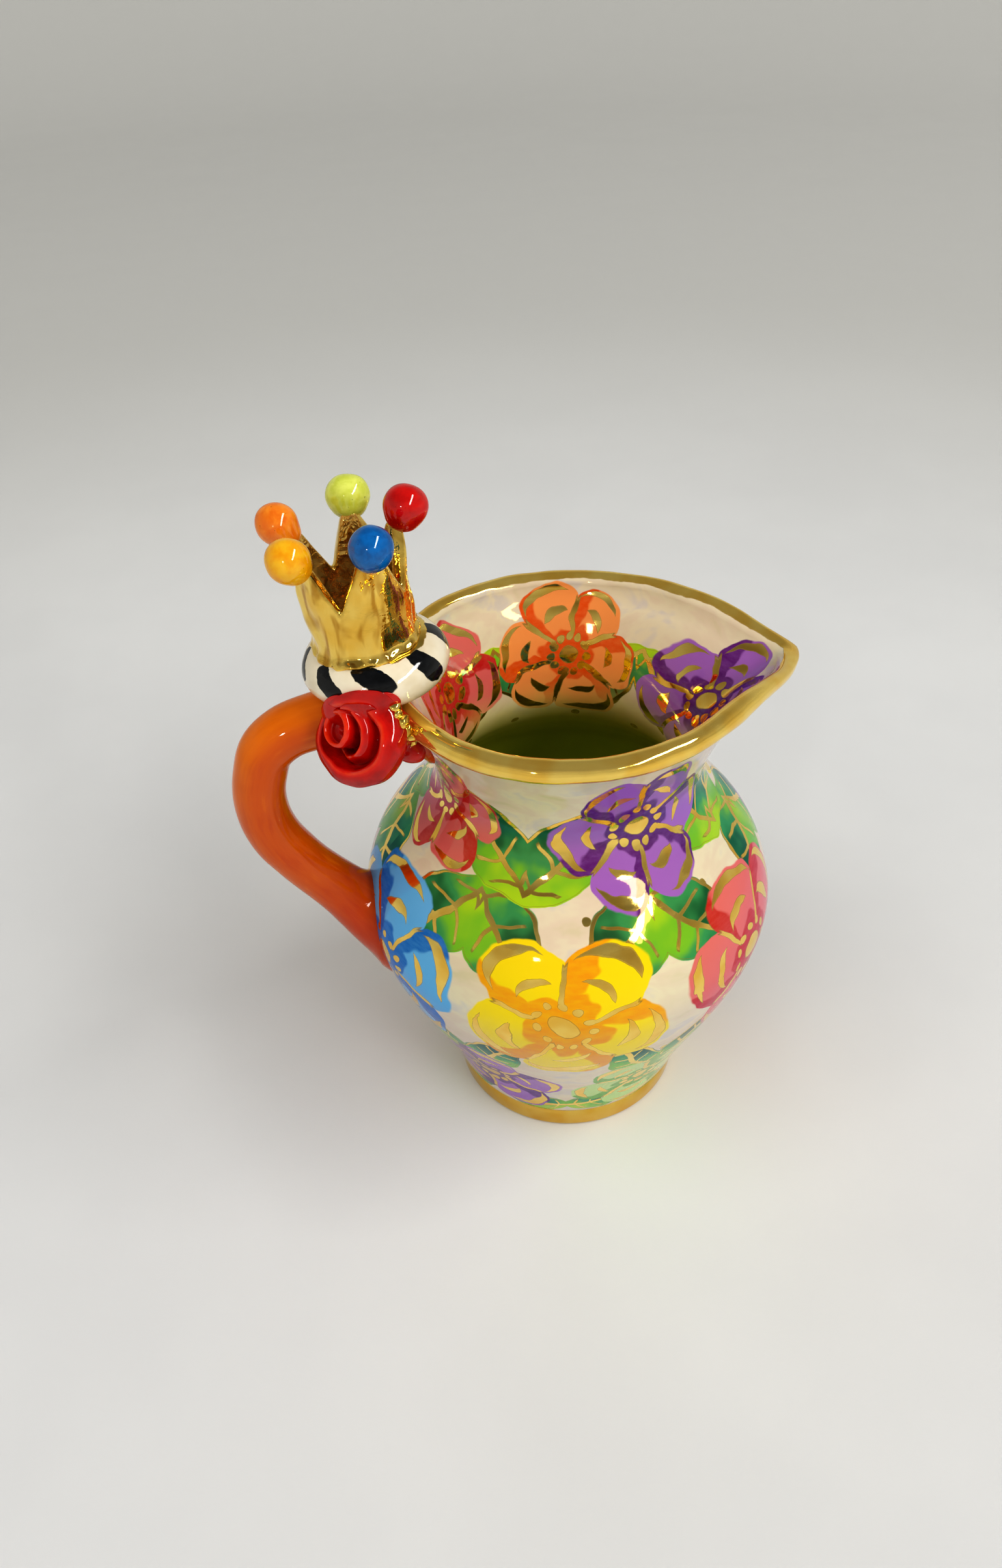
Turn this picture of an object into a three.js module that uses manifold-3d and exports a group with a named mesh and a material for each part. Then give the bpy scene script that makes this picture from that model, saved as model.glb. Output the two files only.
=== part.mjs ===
// Hand-built glazed earthenware creamer: a round-bellied jug with a pulled
// pouring lip, a loop handle, and on the handle's top a cushion that carries a
// five-pointed crown with a ball on every point and a rolled clay rose beside it.
// Units are millimetres, +Z is up. The origin is the centre of the foot's
// underside, the handle is on -X and the pouring lip on +X.

import * as THREE from 'three';
import { mergeVertices } from 'three/addons/utils/BufferGeometryUtils.js';
import Module from 'manifold-3d';

const wasm = await Module();
wasm.setup();

// ---------------------------------------------------------------- dimensions

const GAP = 0.3;                 // joint line between luted pieces

// jug body
const RIM_HEIGHT = 110;          // foot to the top of the rim roll
const RIM_RADIUS = 32.07;        // centre line of the rim roll
const RIM_ROLL = 2.16;           // radius of the rim roll
const FOOT_RADIUS = 25.5;
const FOOT_BAND = 4.8;           // height of the upright foot band
const BELLY_RADIUS = 42.9;       // at BELLY_HEIGHT
const BELLY_HEIGHT = 54;
const NECK_RADIUS = 25.8;        // narrowest, at NECK_HEIGHT
const NECK_HEIGHT = 86;
const FLOOR = 6.8;               // thickness of the floor
const JUG_SEGMENTS = 54;

// pouring lip
const LIP_REACH = 11.9;          // how far it is pulled out of the round
const LIP_DIP = 4.8;             // how far its tip hangs below the rim
const LIP_WIDTH = 0.46;          // angular half width, radians
const LIP_POWER = 1.4;
const LIP_START = 74;            // height on the neck where the pull begins

// handle
const HANDLE_TOP = 104.2;        // height of the upper joint
const HANDLE_FOOT = 52.6;        // height of the lower joint
const HANDLE_REACH = 59.9;       // furthest centre-line distance from the axis
const HANDLE_RADIUS = 5.1;
const HANDLE_UPPER_ROOT = 6.3;
const HANDLE_LOWER_ROOT = 5.9;
const HANDLE_SPREAD = 3.0;       // extra half width of the lower root, sideways

// cushion and crown
const CUSHION_CENTRE = new THREE.Vector3(-34.9, 0, 114.9);
const CUSHION_LEAN = 0.06;       // radians, away from the jug
const CUSHION_RADIUS = 13.3;
const CUSHION_HALF = 4.2;
const CROWN_LEAN = 0.112;        // radians, away from the jug
const CROWN_BASE = new THREE.Vector3(-35.9, 0, 119.4);
const CROWN_RADIUS = 9.2;
const CROWN_WALL = 2.0;
const CROWN_HEIGHT = 20.8;       // points
const CROWN_NOTCH = 11.0;        // bottom of the gaps between the points
const CROWN_POINTS = 5;
const CROWN_GAPS = [38, 34, 36, 30, 40]; // degrees from each point to the gap after it
const CROWN_TURN = 4;            // degrees, first point from +X
const BALL_RADIUS = 3.7;
const BALL_RING = 11.7;
const BALL_HEIGHT = 21.9;        // above the crown's base

// rose
const ROSE_CENTRE = new THREE.Vector3(-39.4, -11.2, 106.0);
const ROSE_AXIS = new THREE.Vector3(-0.72, -0.43, 0.545).normalize();
const ROSE_RADIUS = 8.3;

// ------------------------------------------------------------------- helpers

// Keep only positions, weld shared corners and drop slivers on the axis.
function weld(geometry) {
  const g = geometry.clone();
  for (const name of Object.keys(g.attributes)) if (name !== 'position') g.deleteAttribute(name);
  const m = mergeVertices(g, 1e-4);
  const index = [];
  for (let i = 0; i < m.index.count; i += 3) {
    const [a, b, c] = [m.index.getX(i), m.index.getX(i + 1), m.index.getX(i + 2)];
    if (a !== b && b !== c && c !== a) index.push(a, b, c);
  }
  m.setIndex(index);
  m.computeVertexNormals();
  return m;
}

function solid(geometry) {
  const g = weld(geometry);
  return new wasm.Manifold(new wasm.Mesh({
    numProp: 3,
    vertProperties: new Float32Array(g.attributes.position.array),
    triVerts: new Uint32Array(g.index.array),
  }));
}

function shape(manifold) {
  const mesh = manifold.getMesh();
  const g = new THREE.BufferGeometry();
  g.setAttribute('position', new THREE.BufferAttribute(new Float32Array(mesh.vertProperties), 3));
  g.setIndex(new THREE.BufferAttribute(new Uint32Array(mesh.triVerts), 1));
  g.computeVertexNormals();
  return g;
}

// Move every corner of a geometry with f(vector).
function warp(geometry, f) {
  const p = geometry.attributes.position;
  const v = new THREE.Vector3();
  for (let i = 0; i < p.count; i++) {
    v.fromBufferAttribute(p, i);
    f(v);
    p.setXYZ(i, v.x, v.y, v.z);
  }
  p.needsUpdate = true;
  return geometry;
}

// Turn a profile of [radius, height] pairs about +Z.
function revolve(profile, segments) {
  const points = profile.map(([r, z]) => new THREE.Vector2(r, z));
  return new THREE.LatheGeometry(points, segments).rotateX(Math.PI / 2);
}

// Round off a [radius, height] run into a smooth one.
function smooth(run, count) {
  const curve = new THREE.SplineCurve(run.map(([r, z]) => new THREE.Vector2(r, z)));
  return curve.getPoints(count).map((p) => [p.x, p.y]);
}

function glaze(color, roughness, metalness) {
  return new THREE.MeshStandardMaterial({ color, roughness, metalness });
}

function piece(name, geometry, material) {
  const mesh = new THREE.Mesh(geometry, material);
  mesh.name = name;
  return mesh;
}

// ------------------------------------------------------------------ jug body

const BODY_OUTER = [
  [FOOT_RADIUS + 0.6, FOOT_BAND + 1.4], [27.3, 9.4], [28.8, 14], [31.1, 20], [34.6, 28],
  [38.5, 37], [41.6, 46], [BELLY_RADIUS, BELLY_HEIGHT], [41.7, 61], [39.2, 67], [35.5, 72],
  [31.6, 76], [28.2, 80], [NECK_RADIUS, NECK_HEIGHT], [27.2, 94], [30.2, 102], [31.5, 105],
];
const BODY_INNER = [
  [29.0, 105.6], [26.7, 102], [23.4, 94], [21.9, 86], [23.4, 80.6], [26.4, 76.4], [30.4, 71.6],
  [34.7, 66], [37.4, 60], [38.8, 53.5], [37.7, 46], [34.5, 37], [30.5, 28], [26.6, 20.4],
  [23.2, 14.6], [18.2, 9.8], [10, 7.4], [0, FLOOR],
];

function jugProfile() {
  const run = [[0, 0], [FOOT_RADIUS - 1, 0], [FOOT_RADIUS, 0.9], [FOOT_RADIUS + 0.1, FOOT_BAND], [FOOT_RADIUS - 0.1, FOOT_BAND + 0.5]];
  run.push(...smooth(BODY_OUTER, 20));
  const zc = RIM_HEIGHT - RIM_ROLL;
  for (let i = 0; i <= 7; i++) {
    const a = THREE.MathUtils.degToRad(-58 + i * 34);
    run.push([RIM_RADIUS + RIM_ROLL * Math.cos(a), zc + RIM_ROLL * Math.sin(a)]);
  }
  run.push(...smooth(BODY_INNER, 16));
  run[run.length - 1] = [0, FLOOR];
  return run;
}

// The same run set outward by d along its normals.
function grown(run, d) {
  return run.map(([r, z], i) => {
    const a = run[Math.max(i - 1, 0)];
    const b = run[Math.min(i + 1, run.length - 1)];
    const [dr, dz] = [b[0] - a[0], b[1] - a[1]];
    const n = Math.hypot(dr, dz) || 1;
    const axis = i === 0 || i === run.length - 1;
    return [axis ? 0 : Math.max(r + (dz / n) * d, 0.01), z - (dr / n) * d];
  });
}

// Pull the pouring lip out of the round, on +X.
function pullLip(v) {
  if (v.z <= LIP_START) return;
  const r = Math.hypot(v.x, v.y);
  if (r < 1e-6) return;
  const turn = Math.atan2(v.y, v.x);
  const up = Math.min((v.z - LIP_START) / (RIM_HEIGHT - RIM_ROLL - LIP_START), 1.05);
  const lift = Math.pow(up, 1.5);
  const reach = LIP_REACH * Math.exp(-Math.pow(Math.abs(turn) / LIP_WIDTH, LIP_POWER)) * lift;
  const dip = LIP_DIP * Math.exp(-Math.pow(Math.abs(turn) / (0.8 * LIP_WIDTH), 2)) * lift;
  v.x *= (r + reach) / r;
  v.y *= (r + reach) / r;
  v.z -= dip;
}

const profile = jugProfile();
const jugBody = weld(warp(revolve(profile, JUG_SEGMENTS), pullLip));

// The jug with its joint line, and the same thing filled up, as cutters.
const jugClear = solid(warp(revolve(grown(profile, GAP), JUG_SEGMENTS), pullLip));
const rimTop = profile.findIndex(([, z]) => z > RIM_HEIGHT - 0.2);
const filled = grown(profile, GAP).slice(0, rimTop + 1);
filled.push([0, filled[filled.length - 1][1]]);
const jugFilled = solid(warp(revolve(filled, JUG_SEGMENTS), pullLip));

// -------------------------------------------------------------------- handle

const handleLine = new THREE.CatmullRomCurve3([
  [27, HANDLE_TOP - 4.4], [34, HANDLE_TOP - 2.2], [41, HANDLE_TOP - 0.2], [47.6, 103.5], [52.7, 102.1], [56.8, 98.9],
  [58.9, 93.8], [HANDLE_REACH, 88.6], [59.6, 82.9], [58.0, 77.5], [55.6, 73], [53.1, 68.9],
  [50.3, 65], [47.5, 61.2], [44.6, 56.9], [41.6, HANDLE_FOOT], [36.5, 46],
].map(([s, z]) => new THREE.Vector3(-s, 0, z)), false, 'centripetal');

function handleRadius(t) {
  const top = Math.exp(-Math.pow(t / 0.16, 2));
  const foot = Math.exp(-Math.pow((1 - t) / 0.17, 2));
  return HANDLE_RADIUS + (HANDLE_UPPER_ROOT - HANDLE_RADIUS) * top + (HANDLE_LOWER_ROOT - HANDLE_RADIUS) * foot;
}

function handleTube(extra) {
  const tube = new THREE.CylinderGeometry(1, 1, 1, 16, 26);
  const side = new THREE.Vector3(0, 1, 0);
  return warp(tube, (v) => {
    const t = THREE.MathUtils.clamp(0.5 - v.y, 0, 1);
    const centre = handleLine.getPoint(t);
    const along = handleLine.getTangent(t);
    const out = new THREE.Vector3().crossVectors(side, along);
    const r = handleRadius(t) + extra;
    const [a, b] = [v.x, v.z];
    const wide = r + HANDLE_SPREAD * Math.exp(-Math.pow((1 - t) / 0.14, 2));
    v.copy(centre).addScaledVector(out, a * r).addScaledVector(side, b * wide);
  });
}

const handle = solid(handleTube(0)).subtract(jugFilled);
const handleClear = solid(handleTube(GAP));

// ------------------------------------------------------------ place of the rose

const roseTurn = new THREE.Matrix4().makeRotationFromQuaternion(
  new THREE.Quaternion().setFromUnitVectors(new THREE.Vector3(0, 0, 1), ROSE_AXIS));
const rosePlace = new THREE.Matrix4().makeTranslation(ROSE_CENTRE.x, ROSE_CENTRE.y, ROSE_CENTRE.z).multiply(roseTurn);

const placed = (run, n) => revolve(run, n).applyMatrix4(rosePlace);
const R = ROSE_RADIUS;
// Outline of the whole flower with its joint line.
const BLOOM = [[0, -5.9], [3.5, -5.6], [6.4, -3.8], [8.1, -1.3], [R + GAP, 1.0], [8.3, 3.0], [7.4, 4.3], [5.9, 4.9], [5.2, 5.4], [3.5, 5.9], [0, 5.9]];
const roseClear = solid(placed(BLOOM, 26));

// ------------------------------------------------------------------- cushion

function cushionBody(extra) {
  const run = [[0, -CUSHION_HALF - extra]];
  for (let i = 0; i <= 10; i++) {
    const a = -Math.PI / 2 + (i * Math.PI) / 10;
    const flat = CUSHION_RADIUS - 5.4;
    run.push([flat + (5.4 + extra) * Math.cos(a), (CUSHION_HALF + extra) * Math.sin(a)]);
  }
  run.push([0, CUSHION_HALF + extra]);
  return revolve(run, 34).rotateY(-CUSHION_LEAN).translate(CUSHION_CENTRE.x, CUSHION_CENTRE.y, CUSHION_CENTRE.z);
}

const cushion = solid(cushionBody(0)).subtract(jugClear).subtract(handleClear).subtract(roseClear);
const cushionClear = solid(cushionBody(GAP));

// --------------------------------------------------------------------- crown

const crownPlace = new THREE.Matrix4().makeTranslation(CROWN_BASE.x, CROWN_BASE.y, CROWN_BASE.z)
  .multiply(new THREE.Matrix4().makeRotationY(-CROWN_LEAN));

const crownAngles = [];
for (let k = 0; k < CROWN_POINTS; k++) crownAngles.push(THREE.MathUtils.degToRad(CROWN_TURN + (k * 360) / CROWN_POINTS));

// Height of the wall at a turn: straight-sided points with narrow tops.
function crownTop(turn) {
  const at = THREE.MathUtils.euclideanModulo(THREE.MathUtils.radToDeg(turn) - CROWN_TURN, 360);
  const n = Math.floor(at / (360 / CROWN_POINTS));
  const left = n * (360 / CROWN_POINTS);
  const gap = left + CROWN_GAPS[n];
  const d = at < gap ? (at - left) / CROWN_GAPS[n] : (left + 360 / CROWN_POINTS - at) / (360 / CROWN_POINTS - CROWN_GAPS[n]);
  const k = THREE.MathUtils.clamp((d - 0.16) / 0.8, 0, 1);  // 0 on a point, 1 in a gap
  return CROWN_HEIGHT - (CROWN_HEIGHT - CROWN_NOTCH) * k;
}

function crownRadius(z) {
  const flange = 0.75 * Math.exp(-Math.pow(z / 1.6, 2));
  return CROWN_RADIUS + flange + 0.0037 * Math.max(z - 3, 0) ** 2;
}

function crownWall() {
  const rows = [-0.1, 0.1, 0.35, 0.6, 0.82, 0.95, 1.0];
  const run = rows.map((t) => [1, t]);                    // outer face, then inner face
  run.push([0.5, 1.03]);
  for (const t of rows.slice().reverse()) run.push([0, t]);
  run.push([1, rows[0]]);
  const ring = new THREE.LatheGeometry(run.map(([s, t]) => new THREE.Vector2(10 + s, t)), 55).rotateX(Math.PI / 2);
  return warp(ring, (v) => {
    const turn = Math.atan2(v.y, v.x);
    const s = Math.hypot(v.x, v.y) - 10;
    const z = v.z > 0 ? v.z * crownTop(turn) : v.z * CROWN_NOTCH;
    const outer = crownRadius(z);
    const round = v.z > 0.9 ? 0.35 * CROWN_WALL * (v.z - 0.9) / 0.1 : 0;
    const r = s > 0.75 ? outer - round : s < 0.25 ? outer - CROWN_WALL + round : outer - CROWN_WALL / 2;
    v.set(r * Math.cos(turn), r * Math.sin(turn), z);
  });
}

let crown = solid(crownWall().applyMatrix4(crownPlace)).subtract(cushionClear);
const ballCentres = crownAngles.map((a) =>
  new THREE.Vector3(BALL_RING * Math.cos(a), BALL_RING * Math.sin(a), BALL_HEIGHT).applyMatrix4(crownPlace));
for (const c of ballCentres) {
  crown = crown.subtract(solid(new THREE.SphereGeometry(BALL_RADIUS + GAP, 14, 10).translate(c.x, c.y, c.z)));
}

// ---------------------------------------------------------------------- rose

// Outer petal: a fat bowl. Inner petal: a ring in it. Bud: the rolled heart.
const OUTER_PETAL = [[0, -5.6], [3.4, -5.3], [6.2, -3.6], [7.8, -1.2], [R, 1.0], [8.0, 2.9], [7.2, 3.9], [6.4, 3.7], [6.1, 2.4], [6.0, -0.6], [5.0, -2.0], [0, -2.2]];
const INNER_PETAL = [[4.35, -1.6], [4.9, -1.7], [5.65, -0.6], [5.75, 2.0], [5.6, 4.4], [5.1, 5.0], [4.5, 4.6], [4.35, 2.6]];
const BUD = [[0, -1.8], [3.2, -1.7], [3.9, -0.6], [4.05, 2.0], [3.9, 4.8], [3.4, 5.5], [2.8, 5.2], [2.4, 3.4], [1.0, 2.4], [0.6, 3.2], [0, 3.4]];

let outerPetal = solid(placed(OUTER_PETAL, 26));
outerPetal = outerPetal.subtract(jugFilled).subtract(handleClear);
const innerPetal = weld(placed([...INNER_PETAL, INNER_PETAL[0]], 24));
const bud = weld(placed(BUD, 20));

// Clay bed between the rose, the handle, the cushion and the rim's underside.
const lump = (rx, ry, rz, turn, x, y, z) => solid(new THREE.SphereGeometry(1, 16, 12).scale(rx, ry, rz).rotateZ(turn).translate(x, y, z));
const roseBed = lump(7.4, 4.6, 5.4, -0.5, -37.0, -9.8, 107.2)
  .add(lump(5.8, 4.4, 4.2, -0.7, -32.8, -11.2, 102.0))
  .subtract(jugFilled).subtract(handleClear).subtract(cushionClear).subtract(roseClear);

// ------------------------------------------------------------------ assembly

const PEARL = 0xe6dccb, ORANGE = 0xd4620f, WHITE = 0xeee6d7, GOLD = 0xc9992e, RED = 0xcf2216;
const BALLS = [['ball_red', 0xc31919], ['ball_lime', 0xc8d750], ['ball_orange', 0xeb7323], ['ball_yellow', 0xf5af1e], ['ball_blue', 0x0a5faf]];

const creamer = new THREE.Group();
creamer.add(
  piece('jug_body', jugBody, glaze(PEARL, 0.18, 0)),
  piece('handle', shape(handle), glaze(ORANGE, 0.15, 0)),
  piece('crown_cushion', shape(cushion), glaze(WHITE, 0.18, 0)),
  piece('rose_outer_petal', shape(outerPetal), glaze(RED, 0.15, 0)),
  piece('rose_inner_petal', innerPetal, glaze(RED, 0.15, 0)),
  piece('rose_bud', bud, glaze(RED, 0.15, 0)),
  piece('rose_bed', shape(roseBed), glaze(0xa81a12, 0.2, 0)),
  piece('crown', shape(crown), glaze(GOLD, 0.15, 1)),
);
BALLS.forEach(([name, color], k) => {
  const ball = piece(name, weld(new THREE.SphereGeometry(BALL_RADIUS, 14, 10)), glaze(color, 0.12, 0));
  ball.position.copy(ballCentres[k]);
  creamer.add(ball);
});

export default creamer;
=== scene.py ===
import math

import bmesh
import bpy
import numpy as np
from mathutils import Matrix, Vector, noise
from mathutils.bvhtree import BVHTree


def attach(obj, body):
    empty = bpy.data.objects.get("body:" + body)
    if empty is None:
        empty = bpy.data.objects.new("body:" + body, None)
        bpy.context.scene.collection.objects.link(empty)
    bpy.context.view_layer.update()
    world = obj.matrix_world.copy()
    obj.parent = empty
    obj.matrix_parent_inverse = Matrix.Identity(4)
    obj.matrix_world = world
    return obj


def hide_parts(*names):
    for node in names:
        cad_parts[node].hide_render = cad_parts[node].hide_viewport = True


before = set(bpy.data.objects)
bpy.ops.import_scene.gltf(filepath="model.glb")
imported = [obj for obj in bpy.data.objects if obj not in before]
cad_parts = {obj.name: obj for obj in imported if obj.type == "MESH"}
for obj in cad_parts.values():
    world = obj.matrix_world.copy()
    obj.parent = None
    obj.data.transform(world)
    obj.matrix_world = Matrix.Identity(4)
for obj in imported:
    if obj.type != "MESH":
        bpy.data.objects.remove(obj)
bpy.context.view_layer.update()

MM = 0.001
TAU = 2 * math.pi
scene = bpy.context.scene


# =====================================================================  numbers
# Everything below is in millimetres in the part's own frame until a mesh is made.

RIM_HEIGHT, RIM_RADIUS, RIM_ROLL = 110.0, 32.07, 2.16
RIM_Z = RIM_HEIGHT - RIM_ROLL
FOOT_RADIUS, FOOT_BAND = 25.5, 4.8
LIP_START, LIP_REACH, LIP_WIDTH, LIP_POWER, LIP_DIP = 74.0, 11.9, 0.46, 1.4, 4.8

BODY_OUTER = [
    (26.1, 6.2), (27.3, 9.4), (28.8, 14), (31.1, 20), (34.6, 28), (38.5, 37), (41.6, 46), (42.9, 54), (41.7, 61),
    (39.2, 67), (35.5, 72), (31.6, 76), (28.2, 80), (25.8, 86), (27.2, 94), (30.2, 102), (31.5, 105),
]
BODY_INNER = [
    (29.0, 105.6), (26.7, 102), (23.4, 94), (21.9, 86), (23.4, 80.6), (26.4, 76.4), (30.4, 71.6), (34.7, 66),
    (37.4, 60), (38.8, 53.5), (37.7, 46), (34.5, 37), (30.5, 28), (26.6, 20.4), (23.2, 14.6), (18.2, 9.8), (10, 7.4),
    (0, 6.8),
]
HANDLE_LINE = [
    (27, 99.8), (34, 102), (41, 104), (47.6, 103.5), (52.7, 102.1), (56.8, 98.9), (58.9, 93.8), (59.9, 88.6),
    (59.6, 82.9), (58.0, 77.5), (55.6, 73), (53.1, 68.9), (50.3, 65), (47.5, 61.2), (44.6, 56.9), (41.6, 52.6),
    (36.5, 46),
]
CUSHION_CENTRE, CUSHION_LEAN, CUSHION_UP = np.array([-34.9, 0, 114.9]), 0.06, 5.1
CROWN_BASE, CROWN_LEAN = np.array([-35.9, 0, 119.4]), 0.112
CROWN_RADIUS, CROWN_WALL, CROWN_TOP, CROWN_NOTCH, CROWN_TURN = 9.2, 2.1, 20.8, 11.0, 4.0
CROWN_GAPS = [38, 34, 36, 30, 40]
BALL_RADIUS, BALL_RING, BALL_HEIGHT = 3.7, 11.7, 21.9
ROSE_CENTRE = np.array([-39.4, -11.2, 106.0])
ROSE_AXIS = np.array([-0.72, -0.43, 0.545]) / np.linalg.norm([-0.72, -0.43, 0.545])


# =====================================================================  shape helpers

def catmull(points, count):
    """Uniform spline through 2-D points."""
    p = np.array(points, float)
    n = len(p)
    t = np.linspace(0, n - 1, count)
    i = np.minimum(t.astype(int), n - 2)
    w = (t - i)[:, None]
    a, b, c, d = p[np.maximum(i - 1, 0)], p[i], p[i + 1], p[np.minimum(i + 2, n - 1)]
    v0, v1 = (c - a) / 2, (d - b) / 2
    return (2 * b - 2 * c + v0 + v1) * w ** 3 + (-3 * b + 3 * c - 2 * v0 - v1) * w ** 2 + v0 * w + b


def resample(run, step):
    """The same polyline with even steps."""
    run = np.array(run, float)
    d = np.r_[0, np.cumsum(np.hypot(*np.diff(run, axis=0).T))]
    s = np.linspace(0, d[-1], max(int(round(d[-1] / step)), 2) + 1)
    return np.c_[np.interp(s, d, run[:, 0]), np.interp(s, d, run[:, 1])]


def wobble(points, size, amount, seed):
    """Smooth 3-D noise at each point, about -amount to amount."""
    off = Vector((seed * 7.31, seed * 3.17, seed * 5.77))
    return np.array([noise.noise(Vector(p) / size + off) for p in points.tolist()]) * amount


def ring_faces(nu, nv, close_v=False):
    """Quads of a grid that is closed in u: vertex number u * nv + v."""
    i = np.arange(nu)
    j = np.arange(nv if close_v else nv - 1)
    a, b = np.meshgrid(i, j, indexing="ij")
    a2, b2 = (a + 1) % nu, (b + 1) % nv
    return np.stack([a * nv + b, a2 * nv + b, a2 * nv + b2, a * nv + b2], -1).reshape(-1, 4).tolist()


def make(name, points, faces, marks=None, outward=True):
    """A smooth-shaded object from points in mm, with float marks on its corners."""
    me = bpy.data.meshes.new(name)
    me.from_pydata((np.asarray(points, float) * MM).tolist(), [], faces)
    for key, values in (marks or {}).items():
        me.attributes.new(key, "FLOAT", "POINT").data.foreach_set("value", np.asarray(values, np.float32))
    if outward:
        bm = bmesh.new()
        bm.from_mesh(me)
        bmesh.ops.recalc_face_normals(bm, faces=bm.faces)
        bm.to_mesh(me)
        bm.free()
    me.polygons.foreach_set("use_smooth", np.ones(len(me.polygons), bool))
    me.update()
    ob = bpy.data.objects.new(name, me)
    scene.collection.objects.link(ob)
    return ob


def lathe(run, nu):
    """(points [nu * nv, 3], turns) of a profile of (radius, height)."""
    run = np.asarray(run, float)
    turn = np.arange(nu) * TAU / nu
    p = np.stack([np.outer(np.cos(turn), run[:, 0]), np.outer(np.sin(turn), run[:, 0]), np.tile(run[:, 1], (nu, 1))], -1)
    return p.reshape(-1, 3), np.repeat(turn, len(run))


def with_poles(points, faces, nu, nv, first, last):
    """Closes both ends of a turned grid with one corner each."""
    n = len(points)
    points = np.vstack([points, first, last])
    for u in range(nu):
        w = (u + 1) % nu
        faces.append([n, w * nv, u * nv])
        faces.append([n + 1, u * nv + nv - 1, w * nv + nv - 1])
    return points, faces


def turn_y(points, angle):
    c, s = math.cos(angle), math.sin(angle)
    return np.c_[points[:, 0] * c + points[:, 2] * s, points[:, 1], -points[:, 0] * s + points[:, 2] * c]


def step(x, lo, hi):
    t = np.clip((x - lo) / (hi - lo), 0, 1)
    return t * t * (3 - 2 * t)


# =====================================================================  node helpers

class Val:
    """A value in a node tree that arithmetic can be written with."""

    def __init__(self, g, sock):
        self.g, self.sock = g, sock

    def __add__(self, o): return self.g.math("ADD", self, o)
    def __radd__(self, o): return self.g.math("ADD", o, self)
    def __sub__(self, o): return self.g.math("SUBTRACT", self, o)
    def __rsub__(self, o): return self.g.math("SUBTRACT", o, self)
    def __mul__(self, o): return self.g.math("MULTIPLY", self, o)
    def __rmul__(self, o): return self.g.math("MULTIPLY", o, self)
    def __truediv__(self, o): return self.g.math("DIVIDE", self, o)


def lin(rgb):
    """Linear colour of an sRGB one in 0 to 255."""
    return tuple((c / 255 / 12.92) if c <= 10 else ((c / 255 + 0.055) / 1.055) ** 2.4 for c in rgb) + (1.0,)


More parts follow.
